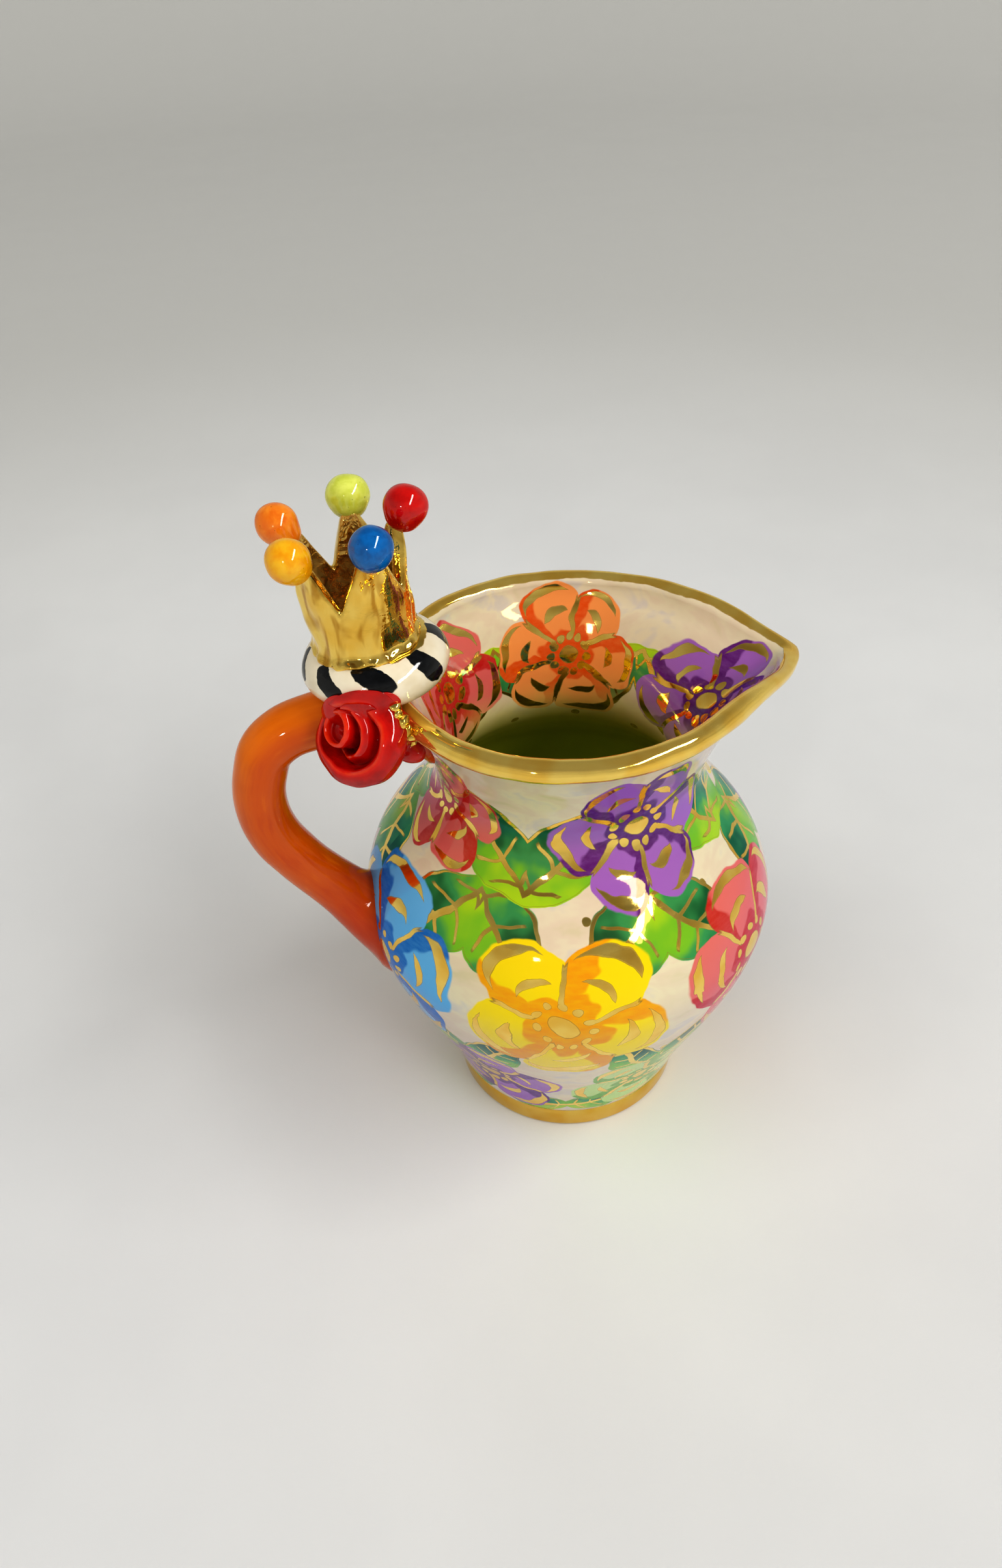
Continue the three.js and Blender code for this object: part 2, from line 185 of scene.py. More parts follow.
class Graph:
    """One material with a single Principled shader."""

    def __init__(self, name):
        self.mat = bpy.data.materials.new(name)
        self.mat.use_nodes = True
        self.t = self.mat.node_tree
        self.bsdf = next(n for n in self.t.nodes if n.type == "BSDF_PRINCIPLED")
        self.coord = self.t.nodes.new("ShaderNodeTexCoord")
        sep = self.add("ShaderNodeSeparateXYZ")
        place = self.add("ShaderNodeVectorMath", operation="SCALE")
        place.inputs["Scale"].default_value = 1000.0
        self.t.links.new(self.coord.outputs["Object"], place.inputs[0])
        self.place = Val(self, place.outputs[0])
        self.t.links.new(place.outputs[0], sep.inputs[0])
        self.x, self.y, self.z = (Val(self, sep.outputs[i]) for i in range(3))

    def add(self, kind, **props):
        n = self.t.nodes.new(kind)
        for k, v in props.items():
            setattr(n, k, v)
        return n

    def put(self, sock, value):
        if isinstance(value, Val):
            self.t.links.new(value.sock, sock)
        else:
            sock.default_value = value

    def math(self, op, a, b=None, c=None, clamp=False):
        n = self.add("ShaderNodeMath", operation=op, use_clamp=clamp)
        for i, v in enumerate((a, b, c)):
            if v is not None:
                self.put(n.inputs[i], v)
        return Val(self, n.outputs[0])

    def mark(self, name):
        n = self.add("ShaderNodeAttribute", attribute_name=name)
        return Val(self, n.outputs["Fac"])

    def smooth(self, x, lo, hi, a=0.0, b=1.0):
        n = self.add("ShaderNodeMapRange", interpolation_type="SMOOTHSTEP")
        for key, v in (("Value", x), ("From Min", lo), ("From Max", hi), ("To Min", a), ("To Max", b)):
            self.put(n.inputs[key], v)
        return Val(self, n.outputs[0])

    def line(self, x, lo, hi, a=0.0, b=1.0):
        n = self.add("ShaderNodeMapRange")
        for key, v in (("Value", x), ("From Min", lo), ("From Max", hi), ("To Min", a), ("To Max", b)):
            self.put(n.inputs[key], v)
        return Val(self, n.outputs[0])

    def mix(self, f, a, b):
        n = self.add("ShaderNodeMix", data_type="RGBA")
        self.put(n.inputs[0], f)
        self.put(n.inputs[6], a)
        self.put(n.inputs[7], b)
        return Val(self, n.outputs[2])

    def mixf(self, f, a, b):
        n = self.add("ShaderNodeMix", data_type="FLOAT")
        self.put(n.inputs[0], f)
        self.put(n.inputs[2], a)
        self.put(n.inputs[3], b)
        return Val(self, n.outputs[0])

    def vec(self, x, y, z=0.0):
        n = self.add("ShaderNodeCombineXYZ")
        for i, v in enumerate((x, y, z)):
            self.put(n.inputs[i], v)
        return Val(self, n.outputs[0])

    def noise(self, vector, scale, detail=2.0, rough=0.5, colour=False, distort=0.0):
        n = self.add("ShaderNodeTexNoise")
        self.put(n.inputs["Vector"], vector)
        n.inputs["Scale"].default_value = scale
        n.inputs["Detail"].default_value = detail
        n.inputs["Roughness"].default_value = rough
        n.inputs["Distortion"].default_value = distort
        return Val(self, n.outputs["Color" if colour else "Fac"])

    def parts(self, v):
        n = self.add("ShaderNodeSeparateColor")
        self.put(n.inputs[0], v)
        return [Val(self, n.outputs[i]) for i in range(3)]

    def ramp(self, f, stops, constant=False):
        n = self.add("ShaderNodeValToRGB")
        r = n.color_ramp
        r.interpolation = "CONSTANT" if constant else "EASE"
        while len(r.elements) < len(stops):
            r.elements.new(0.5)
        for e, (at, colour) in zip(r.elements, stops):
            e.position = at
            e.color = colour
        self.put(n.inputs[0], f)
        return Val(self, n.outputs[0])

    def random(self, w):
        n = self.add("ShaderNodeTexWhiteNoise", noise_dimensions="1D")
        self.put(n.inputs["W"], w)
        return Val(self, n.outputs["Value"])

    def bump(self, height, strength, distance):
        n = self.add("ShaderNodeBump")
        self.put(n.inputs["Height"], height)
        n.inputs["Strength"].default_value = strength
        n.inputs["Distance"].default_value = distance
        self.t.links.new(n.outputs[0], self.bsdf.inputs["Normal"])

    def out(self, **sockets):
        for key, v in sockets.items():
            self.put(self.bsdf.inputs[key.replace("_", " ")], v)
        return self.mat


GOLD_HI, GOLD_LO = lin((250, 220, 128)), lin((242, 200, 98))


def gold_colour(g):
    """Gold lustre over glaze: a little redder where it is thin."""
    return g.ramp(g.noise(g.place, 0.16, 2.0, 0.5), [(0.30, GOLD_LO), (0.66, GOLD_HI)])


# =====================================================================  camera

cam = bpy.data.objects.new("camera", bpy.data.cameras.new("camera"))
scene.collection.objects.link(cam)
forward = Vector((0.135226, 0.767695, -0.626385)).normalized()
right = Vector((0.978574, -0.202546, -0.036982)).normalized()
up = right.cross(forward).normalized()
place = Matrix((
    (right.x, up.x, -forward.x, -44.7635 * MM),
    (right.y, up.y, -forward.y, -179.5367 * MM),
    (right.z, up.z, -forward.z, 228.3618 * MM),
    (0, 0, 0, 1),
))
cam.matrix_world = place
cam.data.sensor_fit = "VERTICAL"
cam.data.sensor_height = 36.0
cam.data.sensor_width = 36.0
cam.data.lens = 36.0 * 1800 / 2408
cam.data.clip_start, cam.data.clip_end = 0.01, 50
scene.camera = cam


# =====================================================================  jug body

def pull_lip(p):
    """Draws the pouring lip out on +X, as in the solid model."""
    p = p.copy()
    r = np.hypot(p[:, 0], p[:, 1])
    ok = (p[:, 2] > LIP_START) & (r > 1e-6)
    turn = np.abs(np.arctan2(p[:, 1], p[:, 0]))
    lift = np.clip((p[:, 2] - LIP_START) / (RIM_Z - LIP_START), 0, 1.05) ** 1.5 * ok
    reach = LIP_REACH * np.exp(-((turn / LIP_WIDTH) ** LIP_POWER)) * lift
    dip = LIP_DIP * np.exp(-((turn / (0.8 * LIP_WIDTH)) ** 2)) * lift
    k = (r + reach) / np.maximum(r, 1e-6)
    p[:, 0] *= k
    p[:, 1] *= k
    p[:, 2] -= dip
    return p


def jug_run():
    """Profile as (radius, height) and the marks of where its parts begin."""
    foot = [(FOOT_RADIUS - 1.0 + math.sin(a) * 1.0, 0.95 - 0.95 * math.cos(a)) for a in np.linspace(0, math.pi / 2, 7)]
    foot += [(25.58, 2.6), (25.62, 4.2), (25.5, 4.75), (25.36, 5.05), (25.42, 5.35), (25.72, 5.75)]
    outer = np.vstack([foot, catmull(BODY_OUTER, 220)])
    angles = np.radians(np.linspace(-58, 180, 26))
    rim = np.c_[RIM_RADIUS + RIM_ROLL * np.cos(angles), RIM_Z + RIM_ROLL * np.sin(angles)]
    inner = catmull(BODY_INNER, 260)
    body = resample(outer, 0.82)
    body = np.vstack([np.array(foot), body[body[:, 1] > 6.1]])
    wall = resample(inner, 1.15)[:-1]
    return body, rim, wall


JUG_TURNS = 256
body_run, rim_run, wall_run = jug_run()
under_run = np.c_[np.linspace(2.0, FOOT_RADIUS - 1.8, 7), np.full(7, 0.0)]
jug_line = np.vstack([under_run, body_run, rim_run, wall_run])
seg = np.r_[0, np.cumsum(np.hypot(*np.diff(jug_line, axis=0).T))]
seg -= seg[len(under_run)]                      # 0 where the foot's edge begins
S_RIM = seg[len(under_run) + len(body_run)]     # where the roll begins outside
S_TOP = S_RIM + RIM_ROLL * math.radians(58 + 90)
S_IN = seg[len(under_run) + len(body_run) + len(rim_run) - 1]
OUTER_R = lambda z: np.interp(z, np.r_[body_run[:, 1], RIM_Z], np.r_[body_run[:, 0], RIM_RADIUS + RIM_ROLL])
INNER_R = lambda z: np.interp(z, wall_run[::-1, 1], wall_run[::-1, 0])

pts, turns = lathe(jug_line, JUG_TURNS)
marks = np.tile(seg, JUG_TURNS)
nv = len(jug_line)
faces = ring_faces(JUG_TURNS, nv)
n0 = len(pts)
pts, faces = with_poles(pts, faces, JUG_TURNS, nv, [[0, 0, 0.0]], [[0, 0, 6.8]])
marks = np.r_[marks, seg[0] - 2.0, seg[-1] + 2.0]
# thrown by hand: the wall strays a little from the round
radial = np.hypot(pts[:, 0], pts[:, 1])
direction = np.c_[pts[:, :2] / np.maximum(radial, 1e-6)[:, None], np.zeros(len(pts))]
loose = step(pts[:, 2], 6, 24) * step(radial, 3, 14)
seen_from = np.c_[direction[:, 0] * 30, direction[:, 1] * 30, pts[:, 2]]
pts += direction * (wobble(seen_from, 34, 0.34, 1) * loose)[:, None]
pts[:, 2] += wobble(np.c_[direction[:, :2] * 30, np.zeros(len(pts))], 26, 0.22, 2) * step(pts[:, 2], 92, 108)
at_rim = step(pts[:, 2], 103.5, 106.5)[:, None]
pts += direction * at_rim * (wobble(pts, 7.0, 0.30, 14) + wobble(pts * np.array([1, 1, 1.6]), 3.2, 0.12, 15))[:, None]
pts[:, 2] += at_rim[:, 0] * wobble(pts, 8.0, 0.28, 16)
pts = pull_lip(pts)
jug = make("jug_body_glazed", pts, faces, {"run": marks})


# =====================================================================  handle

def centripetal(points, t):
    """Points on the centripetal spline of the handle, one for each t in 0 to 1."""
    p = np.array(points, float)
    n = len(p)
    out = []
    for u in t:
        w = u * (n - 1)
        i = min(int(w), n - 2)
        w -= i
        p1, p2 = p[i], p[i + 1]
        p0 = p[i - 1] if i > 0 else 2 * p[0] - p[1]
        p3 = p[i + 2] if i + 2 < n else 2 * p[-1] - p[-2]
        d0, d1, d2 = (np.dot(b - a, b - a) ** 0.25 for a, b in ((p0, p1), (p1, p2), (p2, p3)))
        t1 = ((p1 - p0) / d0 - (p2 - p0) / (d0 + d1) + (p2 - p1) / d1) * d1
        t2 = ((p2 - p1) / d1 - (p3 - p1) / (d1 + d2) + (p3 - p2) / d2) * d1
        out.append(p1 + t1 * w + (-3 * p1 + 3 * p2 - 2 * t1 - t2) * w ** 2 + (2 * p1 - 2 * p2 + t1 + t2) * w ** 3)
    return np.array(out)


HN, HV = 210, 56
ht = np.linspace(-0.06, 1.045, HN)
line = centripetal(HANDLE_LINE, np.clip(ht, 0, 1))
# both ends run on straight into the wall
tips = centripetal(HANDLE_LINE, (0, 0.01, 0.99, 1)) * 100
line += np.outer(np.minimum(ht, 0), tips[1] - tips[0]) + np.outer(np.maximum(ht - 1, 0), tips[3] - tips[2])
line = np.c_[-line[:, 0], np.zeros(HN), line[:, 1]]
along = np.gradient(line, axis=0)
along /= np.linalg.norm(along, axis=1)[:, None]
side = np.array([0, 1.0, 0])
outw = np.cross(side, along)
rad = 5.1 + 1.2 * np.exp(-((ht / 0.16) ** 2)) + 0.8 * np.exp(-(((1 - ht) / 0.17) ** 2))
wide = rad + 3.0 * np.exp(-(((1 - ht) / 0.14) ** 2))
ang = np.arange(HV) * TAU / HV
c, s = np.cos(ang), np.sin(ang)
# a pulled strap is rounder on its back than inside the loop
hp = line[:, None] + outw[:, None] * (rad[:, None] * c)[..., None] + side * (wide[:, None] * s)[..., None]
push = outw[:, None] * c[None, :, None] + side * s[None, :, None]
flat = hp.reshape(-1, 3)
normal = (push / np.linalg.norm(push, axis=2)[..., None]).reshape(-1, 3)
# soft meniscus where the strap runs into the wall
gap = np.hypot(flat[:, 0], flat[:, 1]) - OUTER_R(np.clip(flat[:, 2], 6, 106))
flat += normal * (1.5 * np.exp(-np.clip(gap, 0, 40) / 1.7) * step(np.abs(np.repeat(ht, HV) - 0.5), 0.28, 0.42))[:, None]
flat += normal * wobble(flat, 17, 0.22, 3)[:, None]
r_now = np.hypot(flat[:, 0], flat[:, 1])
mid = np.where(flat[:, 2] > 105.2, RIM_RADIUS, (OUTER_R(flat[:, 2]) + INNER_R(flat[:, 2])) / 2)
mid -= 10 * np.repeat(np.maximum(np.maximum(-ht, ht - 1), 0), HV)
grow = np.where(r_now < mid, mid / np.maximum(r_now, 1e-6), 1.0)
flat[:, 0] *= grow
flat[:, 1] *= grow
hfaces = [[u * HV + v, (u + 1) * HV + v, (u + 1) * HV + (v + 1) % HV, u * HV + (v + 1) % HV] for u in range(HN - 1) for v in range(HV)]
hfaces += [list(range(HV)), list(range((HN - 1) * HV, HN * HV))]
handle = make("handle_strap", flat, hfaces, {"along": np.repeat(ht, HV), "round": np.tile(np.sin(ang), HN), "out": np.tile(np.cos(ang), HN)})


# =====================================================================  cushion under the crown

CN, CV = 160, 60
lat = np.linspace(-math.pi / 2, math.pi / 2, CV)
crun = np.c_[7.9 + 5.4 * np.cos(lat), np.where(lat > 0, CUSHION_UP, 4.2) * np.sin(lat)]
low = np.linspace(0.6, 7.4, 7)
crun = np.vstack([np.c_[low, -4.2 - 1.1 * (1 - (low / 7.9) ** 4)], crun, np.c_[low[::-1], np.full(7, CUSHION_UP)]])
marks_lat = np.r_[np.full(7, -90.0), np.degrees(lat), np.full(7, 90.0)]
cp, cturn = lathe(crun, CN)
cf = ring_faces(CN, len(crun))
cp, cf = with_poles(cp, cf, CN, len(crun), [[0, 0, -5.3]], [[0, 0, CUSHION_UP]])
clat = np.r_[np.tile(marks_lat, CN), -90, 90]
cq = cp.copy()
cr = np.hypot(cp[:, 0], cp[:, 1])
cdir = np.c_[cp[:, :2] / np.maximum(cr, 1e-6)[:, None], np.zeros(len(cp))]
cp += cdir * (wobble(cp, 9, 0.35, 4) * step(cr, 3, 9))[:, None]
cp[:, 2] += wobble(cp, 8, 0.25, 5)
cpos = turn_y(cp, -CUSHION_LEAN) + CUSHION_CENTRE
cushion = make("crown_cushion_dashed", cpos, cf, {
    "turn": np.r_[np.degrees(np.where(cturn > math.pi, cturn - TAU, cturn)), 0, 0],
    "cx": cq[:, 0], "cy": cq[:, 1], "cz": cq[:, 2], "lat": clat,
})


# =====================================================================  crown

def crown_top(turn):
    """Height of the wall at a turn in degrees: tall points and rounded gaps between them."""
    at = np.mod(turn - CROWN_TURN, 360)
    n = (at // 72).astype(int)
    gaps = np.array(CROWN_GAPS, float)[n]
    rest = at - n * 72
    d = np.where(rest < gaps, rest / gaps, (72 - rest) / (72 - gaps))
    return CROWN_TOP - (CROWN_TOP - CROWN_NOTCH) * np.clip((d - 0.22) / 0.76, 0, 1)


KN = 480
kt = np.arange(KN) * 360 / KN
height = crown_top(kt)
kernel = np.exp(-0.5 * (np.arange(-9, 10) * 360 / KN / 2.1) ** 2)
height = np.convolve(np.r_[height[-9:], height, height[:9]], kernel / kernel.sum(), "valid")
outer_t = np.r_[-0.17, -0.12, -0.07, np.linspace(-0.035, 0.16, 13), np.linspace(0.19, 0.86, 22), 0.92, 0.96]
lip_a = np.radians(np.linspace(0, 180, 11))


def crown_radius(z):
    """Wall that leans out upwards, over a skirt of gold that spreads on the cushion."""
    skirt = 0.95 * np.exp(-(((z - 0.35) / 0.95) ** 2)) - 0.9 * step(-z, 0.15, 1.0)
    return CROWN_RADIUS + skirt + 0.0037 * np.maximum(z - 3, 0) ** 2


rows = []
for h, t in zip(height, np.radians(kt)):
    crest = 1.15
    zo = np.where(outer_t > 0, outer_t, 0) * (h - crest) / 0.96 + np.where(outer_t < 0, outer_t, 0) * CROWN_NOTCH
    ro = crown_radius(zo)
    top_r = crown_radius(h - crest)
    half = CROWN_WALL / 2
    zl = h - crest + crest * np.sin(lip_a)
    rl = top_r - half + half * np.cos(lip_a)
    zi = zo[::-1]
    ri = CROWN_RADIUS + 0.0037 * np.maximum(zi - 3, 0) ** 2 - CROWN_WALL
    section = np.vstack([np.c_[ro, zo], np.c_[rl, zl][1:-1], np.c_[ri, zi]])
    rows.append(np.c_[section[:, 0] * math.cos(t), section[:, 0] * math.sin(t), section[:, 1]])
kp = np.array(rows)
KV = kp.shape[1]
for _ in range(10):                                # soften, as wet clay does
    near = (np.roll(kp, 1, 0) + np.roll(kp, -1, 0) + np.roll(kp, 1, 1) + np.roll(kp, -1, 1)) / 4
    near[:, [0, -1]] = kp[:, [0, -1]]
    kp = kp * 0.5 + near * 0.5
kp = kp.reshape(-1, 3)
kr = np.hypot(kp[:, 0], kp[:, 1])
kdir = np.c_[kp[:, :2] / kr[:, None], np.zeros(len(kp))]
skirt = np.exp(-(((kp[:, 2] - 0.3) / 1.0) ** 2)) * step(kr, 8.6, 9.4)
kp += kdir * (wobble(kp * np.array([1, 1, 0.7]), 4.6, 0.62, 6) + wobble(kp * np.array([1, 1, 0.24]), 2.3, 0.34, 7) + skirt * (wobble(kp, 1.9, 0.5, 11) + wobble(kp, 4.5, 0.4, 12)))[:, None]
kp[:, 2] += wobble(kp, 5, 0.25, 8) + skirt * (wobble(kp, 1.7, 0.45, 13) + 0.35 * np.cos(np.arctan2(kp[:, 1], kp[:, 0]) + 1.3))
crown = make("crown_gilded", turn_y(kp, -CROWN_LEAN) + CROWN_BASE, ring_faces(KN, KV, True), {"inner": np.tile(np.r_[np.zeros(len(outer_t)), np.linspace(0, 1, KV - 2 * len(outer_t)), np.ones(len(outer_t))], KN)})

# balls, each with a short stalk that is set into its point
balls = []
BALL_RISE = [0.7, 0.2, 0.1, 0.0, 0.55]
BALL_NAMES = ["ball_red", "ball_lime", "ball_orange", "ball_yellow", "ball_blue"]
for k, name in enumerate(BALL_NAMES):
    a = math.radians(CROWN_TURN + 72 * k)
    polar = np.linspace(0.0, math.pi, 48)
    brun = np.c_[BALL_RADIUS * np.sin(polar), -BALL_RADIUS * np.cos(polar)][1:-1]
    brun[:, 1] -= 0.95 * np.exp(-((polar[1:-1] / 0.62) ** 2))
    brun[:, 0] += 0.30 * np.exp(-(((polar[1:-1] - 0.55) / 0.32) ** 2))
    bp, _ = lathe(brun, 80)
    bf = ring_faces(80, len(brun))
    bp, bf = with_poles(bp, bf, 80, len(brun), [[0, 0, -BALL_RADIUS - 0.95]], [[0, 0, BALL_RADIUS]])
    size = np.linalg.norm(bp, axis=1)[:, None]
    bp = bp * (1 + wobble(bp / size * 4 + k * 9, 3.6, 0.045, 9 + k)[:, None])
    bp *= np.array([[1.03, 1.0, 0.98], [1.05, 1.03, 0.93], [0.97, 0.99, 1.02], [1.0, 0.97, 1.03], [0.98, 1.02, 1.03]][k])
    tilt = Matrix.Rotation(0.5, 3, Vector((-math.sin(a), math.cos(a), 0)))
    bp = bp @ np.array(tilt).T
    bp += np.array([BALL_RING * math.cos(a), BALL_RING * math.sin(a), BALL_HEIGHT + BALL_RISE[k]])
    balls.append(make(name + "_glazed", turn_y(bp, -CROWN_LEAN) + CROWN_BASE, bf))


# =====================================================================  rose

zax = ROSE_AXIS
# the same turn that carries +Z onto the rose's axis the short way
spin = np.array(Vector((0, 0, 1)).rotation_difference(Vector(zax)).to_matrix())


def set_rose(p):
    return p @ spin.T + ROSE_CENTRE


def rose_angle(v):
    """Angle in the rose's own plane of a way in space."""
    w = np.asarray(v, float) @ spin
    return math.atan2(w[1], w[0])


ROSE_RIGHT = rose_angle(np.array(right))


def around(phi, values):
    """Soft blend of eight values set evenly round the flower, from the viewer's right by way of the top."""
    f = np.mod(phi - ROSE_RIGHT, TAU) / TAU * 8
    i = f.astype(int) % 8
    w = f - np.floor(f)
    w = w * w * (3 - 2 * w)
    v = np.array(values, float)
    return v[i] * (1 - w) + v[(i + 1) % 8] * w


def turned(sections, phi):
    """Points of sections [len(phi), m, (radius, height)] set round the axis."""
    sections = np.asarray(sections)
    return np.stack([sections[..., 0] * np.cos(phi)[:, None], sections[..., 0] * np.sin(phi)[:, None], sections[..., 1]], -1).reshape(-1, 3)


def closed_spline(points, m):
    k = len(points)
    return catmull([points[-1]] + list(points) + [points[0], points[1]], (k + 2) * m + 1)[m:m + k * m]


# way to the viewer, and clay that is pressed on to the cushion instead of going into it
to_eye = np.array([-44.76, -179.54, 228.36]) - ROSE_CENTRE
to_eye /= np.linalg.norm(to_eye)


def in_cushion(p, grown):
    q = turn_y(p - CUSHION_CENTRE, CUSHION_LEAN)
    r = np.hypot(q[:, 0], q[:, 1])
    half = np.where(q[:, 2] > 0, CUSHION_UP, 4.2) + grown
    return ((np.maximum(r - 7.9, 0) / (5.4 + grown)) ** 2 + (q[:, 2] / half) ** 2) < 1


def press_out(p, faces, grown):
    """Lifts what faces the viewer out of the cushion, along the line of sight."""
    bm = bmesh.new()
    me = bpy.data.meshes.new("press")
    me.from_pydata(p.tolist(), [], faces)
    bm.from_mesh(me)
    bmesh.ops.recalc_face_normals(bm, faces=bm.faces)
    bm.normal_update()
    facing = np.array([v.normal for v in bm.verts]) @ to_eye
    bm.free()
    bpy.data.meshes.remove(me)
    lo, hi = np.zeros(len(p)), np.where(in_cushion(p, grown), 12.0, 0.0)
    for _ in range(22):
        mid_ = (lo + hi) / 2
        inside_ = in_cushion(p + to_eye * mid_[:, None], grown)
        lo, hi = np.where(inside_, mid_, lo), np.where(inside_, hi, mid_)
    push = need = hi * step(facing, -0.20, 0.12)
    ends = np.array([[f[k], f[(k + 1) % len(f)]] for f in faces for k in range(len(f))])
    count = np.bincount(ends[:, 0], minlength=len(p)).astype(float)
    for _ in range(170):                                # eases off into what isn't pressed
        push = np.maximum(need, np.bincount(ends[:, 0], push[ends[:, 1]], len(p)) / count * 0.993)
    return p + to_eye * push[:, None]


# heart: a cup rolled up to a soft lip, with a nub of clay at its bottom
BN = 128
phi = np.arange(BN) * TAU / BN
down = rose_angle(-np.array(up))
to_down, to_left = np.array([math.cos(down), math.sin(down)]), -np.array([math.cos(ROSE_RIGHT), math.sin(ROSE_RIGHT)])
rows = []
for a in phi:
    th, hi_ = around(np.array([a]), [1.6, 1.5, 1.25, 1.1, 1.0, 1.1, 1.3, 1.5])[0], around(np.array([a]), [5.7, 5.75, 5.6, 5.4, 5.3, 5.2, 5.2, 5.45])[0]
    rows.append(catmull([(0.35, -1.8), (2.4, -1.6), (3.45, -0.4), (3.8, 1.2), (3.96, 3.0), (4.08, hi_ - 1.3), (4.0, hi_ - 0.5), (4.0 - 0.42 * th, hi_),
                         (4.0 - 0.80 * th, hi_ - 0.38), (3.0 - 0.2 * (th - 1), hi_ - 1.1), (2.72, 4.0), (2.4, 3.45), (1.75, 3.1), (1.1, 3.2), (0.72, 3.75), (0.3, 4.1)], 110))
bp = turned(rows, phi)
bf = ring_faces(BN, 110)
bp, bf = with_poles(bp, bf, BN, 110, [[0, 0, -1.85]], [[0, 0, 4.15]])
blip = np.r_[np.tile(step(np.linspace(0, 1, 110), 0.28, 0.45) * step(np.linspace(1, 0, 110), 0.34, 0.46), BN), 0, 0]
bp += wobble(bp, 2.4, 0.22, 22)[:, None] * np.array([0.7, 0.7, 1.0])
bp[:, :2] = 0.82 * bp[:, :2] + 1.5 * to_left - 1.5 * to_down
bud_p = set_rose(bp)
bud = make("rose_bud_rolled", press_out(bud_p, bf, 0.9), bf, {"lip": blip})

# second wrap, which comes out of the heart at the top right and sinks away round the far side
IN = 160
phi = np.arange(IN) * TAU / IN
rows = []
for a in phi:
    rc = around(np.array([a]), [4.65, 4.5, 4.4, 4.4, 4.3, 3.9, 4.0, 4.45])[0]
    zc = around(np.array([a]), [4.15, 4.9, 4.3, 1.6, 0.6, 1.4, 2.5, 3.4])[0]
    rows.append(closed_spline([(rc - 1.3, -1.4), (rc - 1.25, zc - 2.4), (rc - 0.5, zc - 0.42), (rc, zc), (rc + 0.48, zc - 0.45), (rc + 0.85, zc - 1.3), (rc + 1.15, min(zc - 2.4, 0.2)), (rc + 0.55, -1.7), (rc, -1.9)], 7))
ip = turned(rows, phi)
if_ = ring_faces(IN, 63, True)
ilip = np.tile(np.exp(-((np.arange(63) - 21) / 5.0) ** 2), IN)
ip += wobble(ip, 3.0, 0.24, 23)[:, None] * np.array([0.7, 0.7, 1.0])
ip[:, :2] += 0.8 * to_left - 0.7 * to_down
ip_p = set_rose(ip)
inner_petal = make("rose_inner_petal_rolled", press_out(ip_p, if_, 0.8), if_, {"lip": ilip})

# fat outer petal: thin lip on the left, broad soft roll on the right
ON, OV = 220, 130
phi = np.arange(ON) * TAU / ON
rows, olip = [], []
R_OUT, Z_OUT = [9.1, 8.8, 8.3, 8.4, 8.7, 8.5, 8.7, 9.0], [-1.1, -0.3, 1.0, 2.2, 3.0, 2.0, 0.7, -0.3]
R_LIP, Z_LIP = [7.3, 6.4, 5.7, 6.7, 7.3, 6.1, 6.5, 7.0], [2.6, 3.4, 4.3, 4.4, 3.9, 3.5, 2.4, 2.1]
SOFT = [1.3, 1.1, 0.8, 0.6, 0.55, 0.6, 1.1, 1.3]
DEEP = [0.12, 0.25, 0.75, 1.0, 0.75, 0.5, 0.15, 0.1]
for a in phi:
    w = np.array([around(np.array([a]), R_OUT)[0], around(np.array([a]), Z_OUT)[0]])
    l = np.array([around(np.array([a]), R_LIP)[0], around(np.array([a]), Z_LIP)[0]])
    so, de = around(np.array([a]), SOFT)[0], around(np.array([a]), DEEP)[0]
    d = l - w
    ln = np.linalg.norm(d)
    nn = np.array([d[1], -d[0]]) / ln
    p2 = (0.72 * w[0], -4.3 + 0.2 * w[1])
    rows.append(catmull([(0.4, -5.6), (3.4, -5.3), p2, (0.93 * w[0], (w[1] + p2[1]) / 2 + 0.25), w, w + 0.42 * d + 0.16 * ln * nn, w + 0.78 * d + 0.12 * ln * nn, l,
                         l + np.array([-0.6 * so, -0.22 * so - 0.2 * de]), l + np.array([-1.0 * so, -0.55 * so - 0.9 * de]), (max(l[0] - 1.5, 4.7), l[1] - 1.3 - 2.6 * de), (4.4, (l[1] - 1.7) * (1 - de) - 1.7 * de), (2.6, (l[1] - 2.4) * (1 - de) - 2.1 * de), (0.4, -2.2)], OV))
    olip.append(np.exp(-((np.linspace(0, 13, OV) - 7.0) / (0.55 + 0.35 * so)) ** 2))
op = turned(rows, phi)
ofc = ring_faces(ON, OV)
op, ofc = with_poles(op, ofc, ON, OV, [[0, 0, -5.65]], [[0, 0, -2.2]])
op += wobble(op, 4.2, 0.34, 24)[:, None] * np.array([0.8, 0.8, 0.6])
op_p = set_rose(op)
outer_petal = make("rose_outer_petal_rolled", press_out(op_p, ofc, 0.55), ofc, {"lip": np.r_[np.concatenate(olip), 0, 0]})

# bed of slip that holds the flower: blobs grown together
bm = bmesh.new()
LUMPS = [
    (7.0, 4.6, 4.6, -0.5, -36.8, -9.4, 106.6), (3.6, 2.4, 2.4, -0.8, -31.6, -11.4, 102.3),
    (2.9, 2.7, 2.6, 0.2, -43.2, -6.3, 109.4), (2.9, 2.7, 2.6, 0.2, -34.6, -7.9, 109.5),
]
for rx, ry, rz, turn, x, y, z in LUMPS:
    m = Matrix.Translation((x, y, z)) @ Matrix.Rotation(turn, 4, "Z") @ Matrix.Diagonal((rx, ry, rz, 1))
    bmesh.ops.create_icosphere(bm, subdivisions=4, radius=1, matrix=m)
me = bpy.data.meshes.new("rose_bed_slip")
bm.to_mesh(me)
bm.free()
raw = bpy.data.objects.new("rose_bed_raw", me)
scene.collection.objects.link(raw)
mod = raw.modifiers.new("grow", "REMESH")
mod.mode, mod.voxel_size = "VOXEL", 0.42
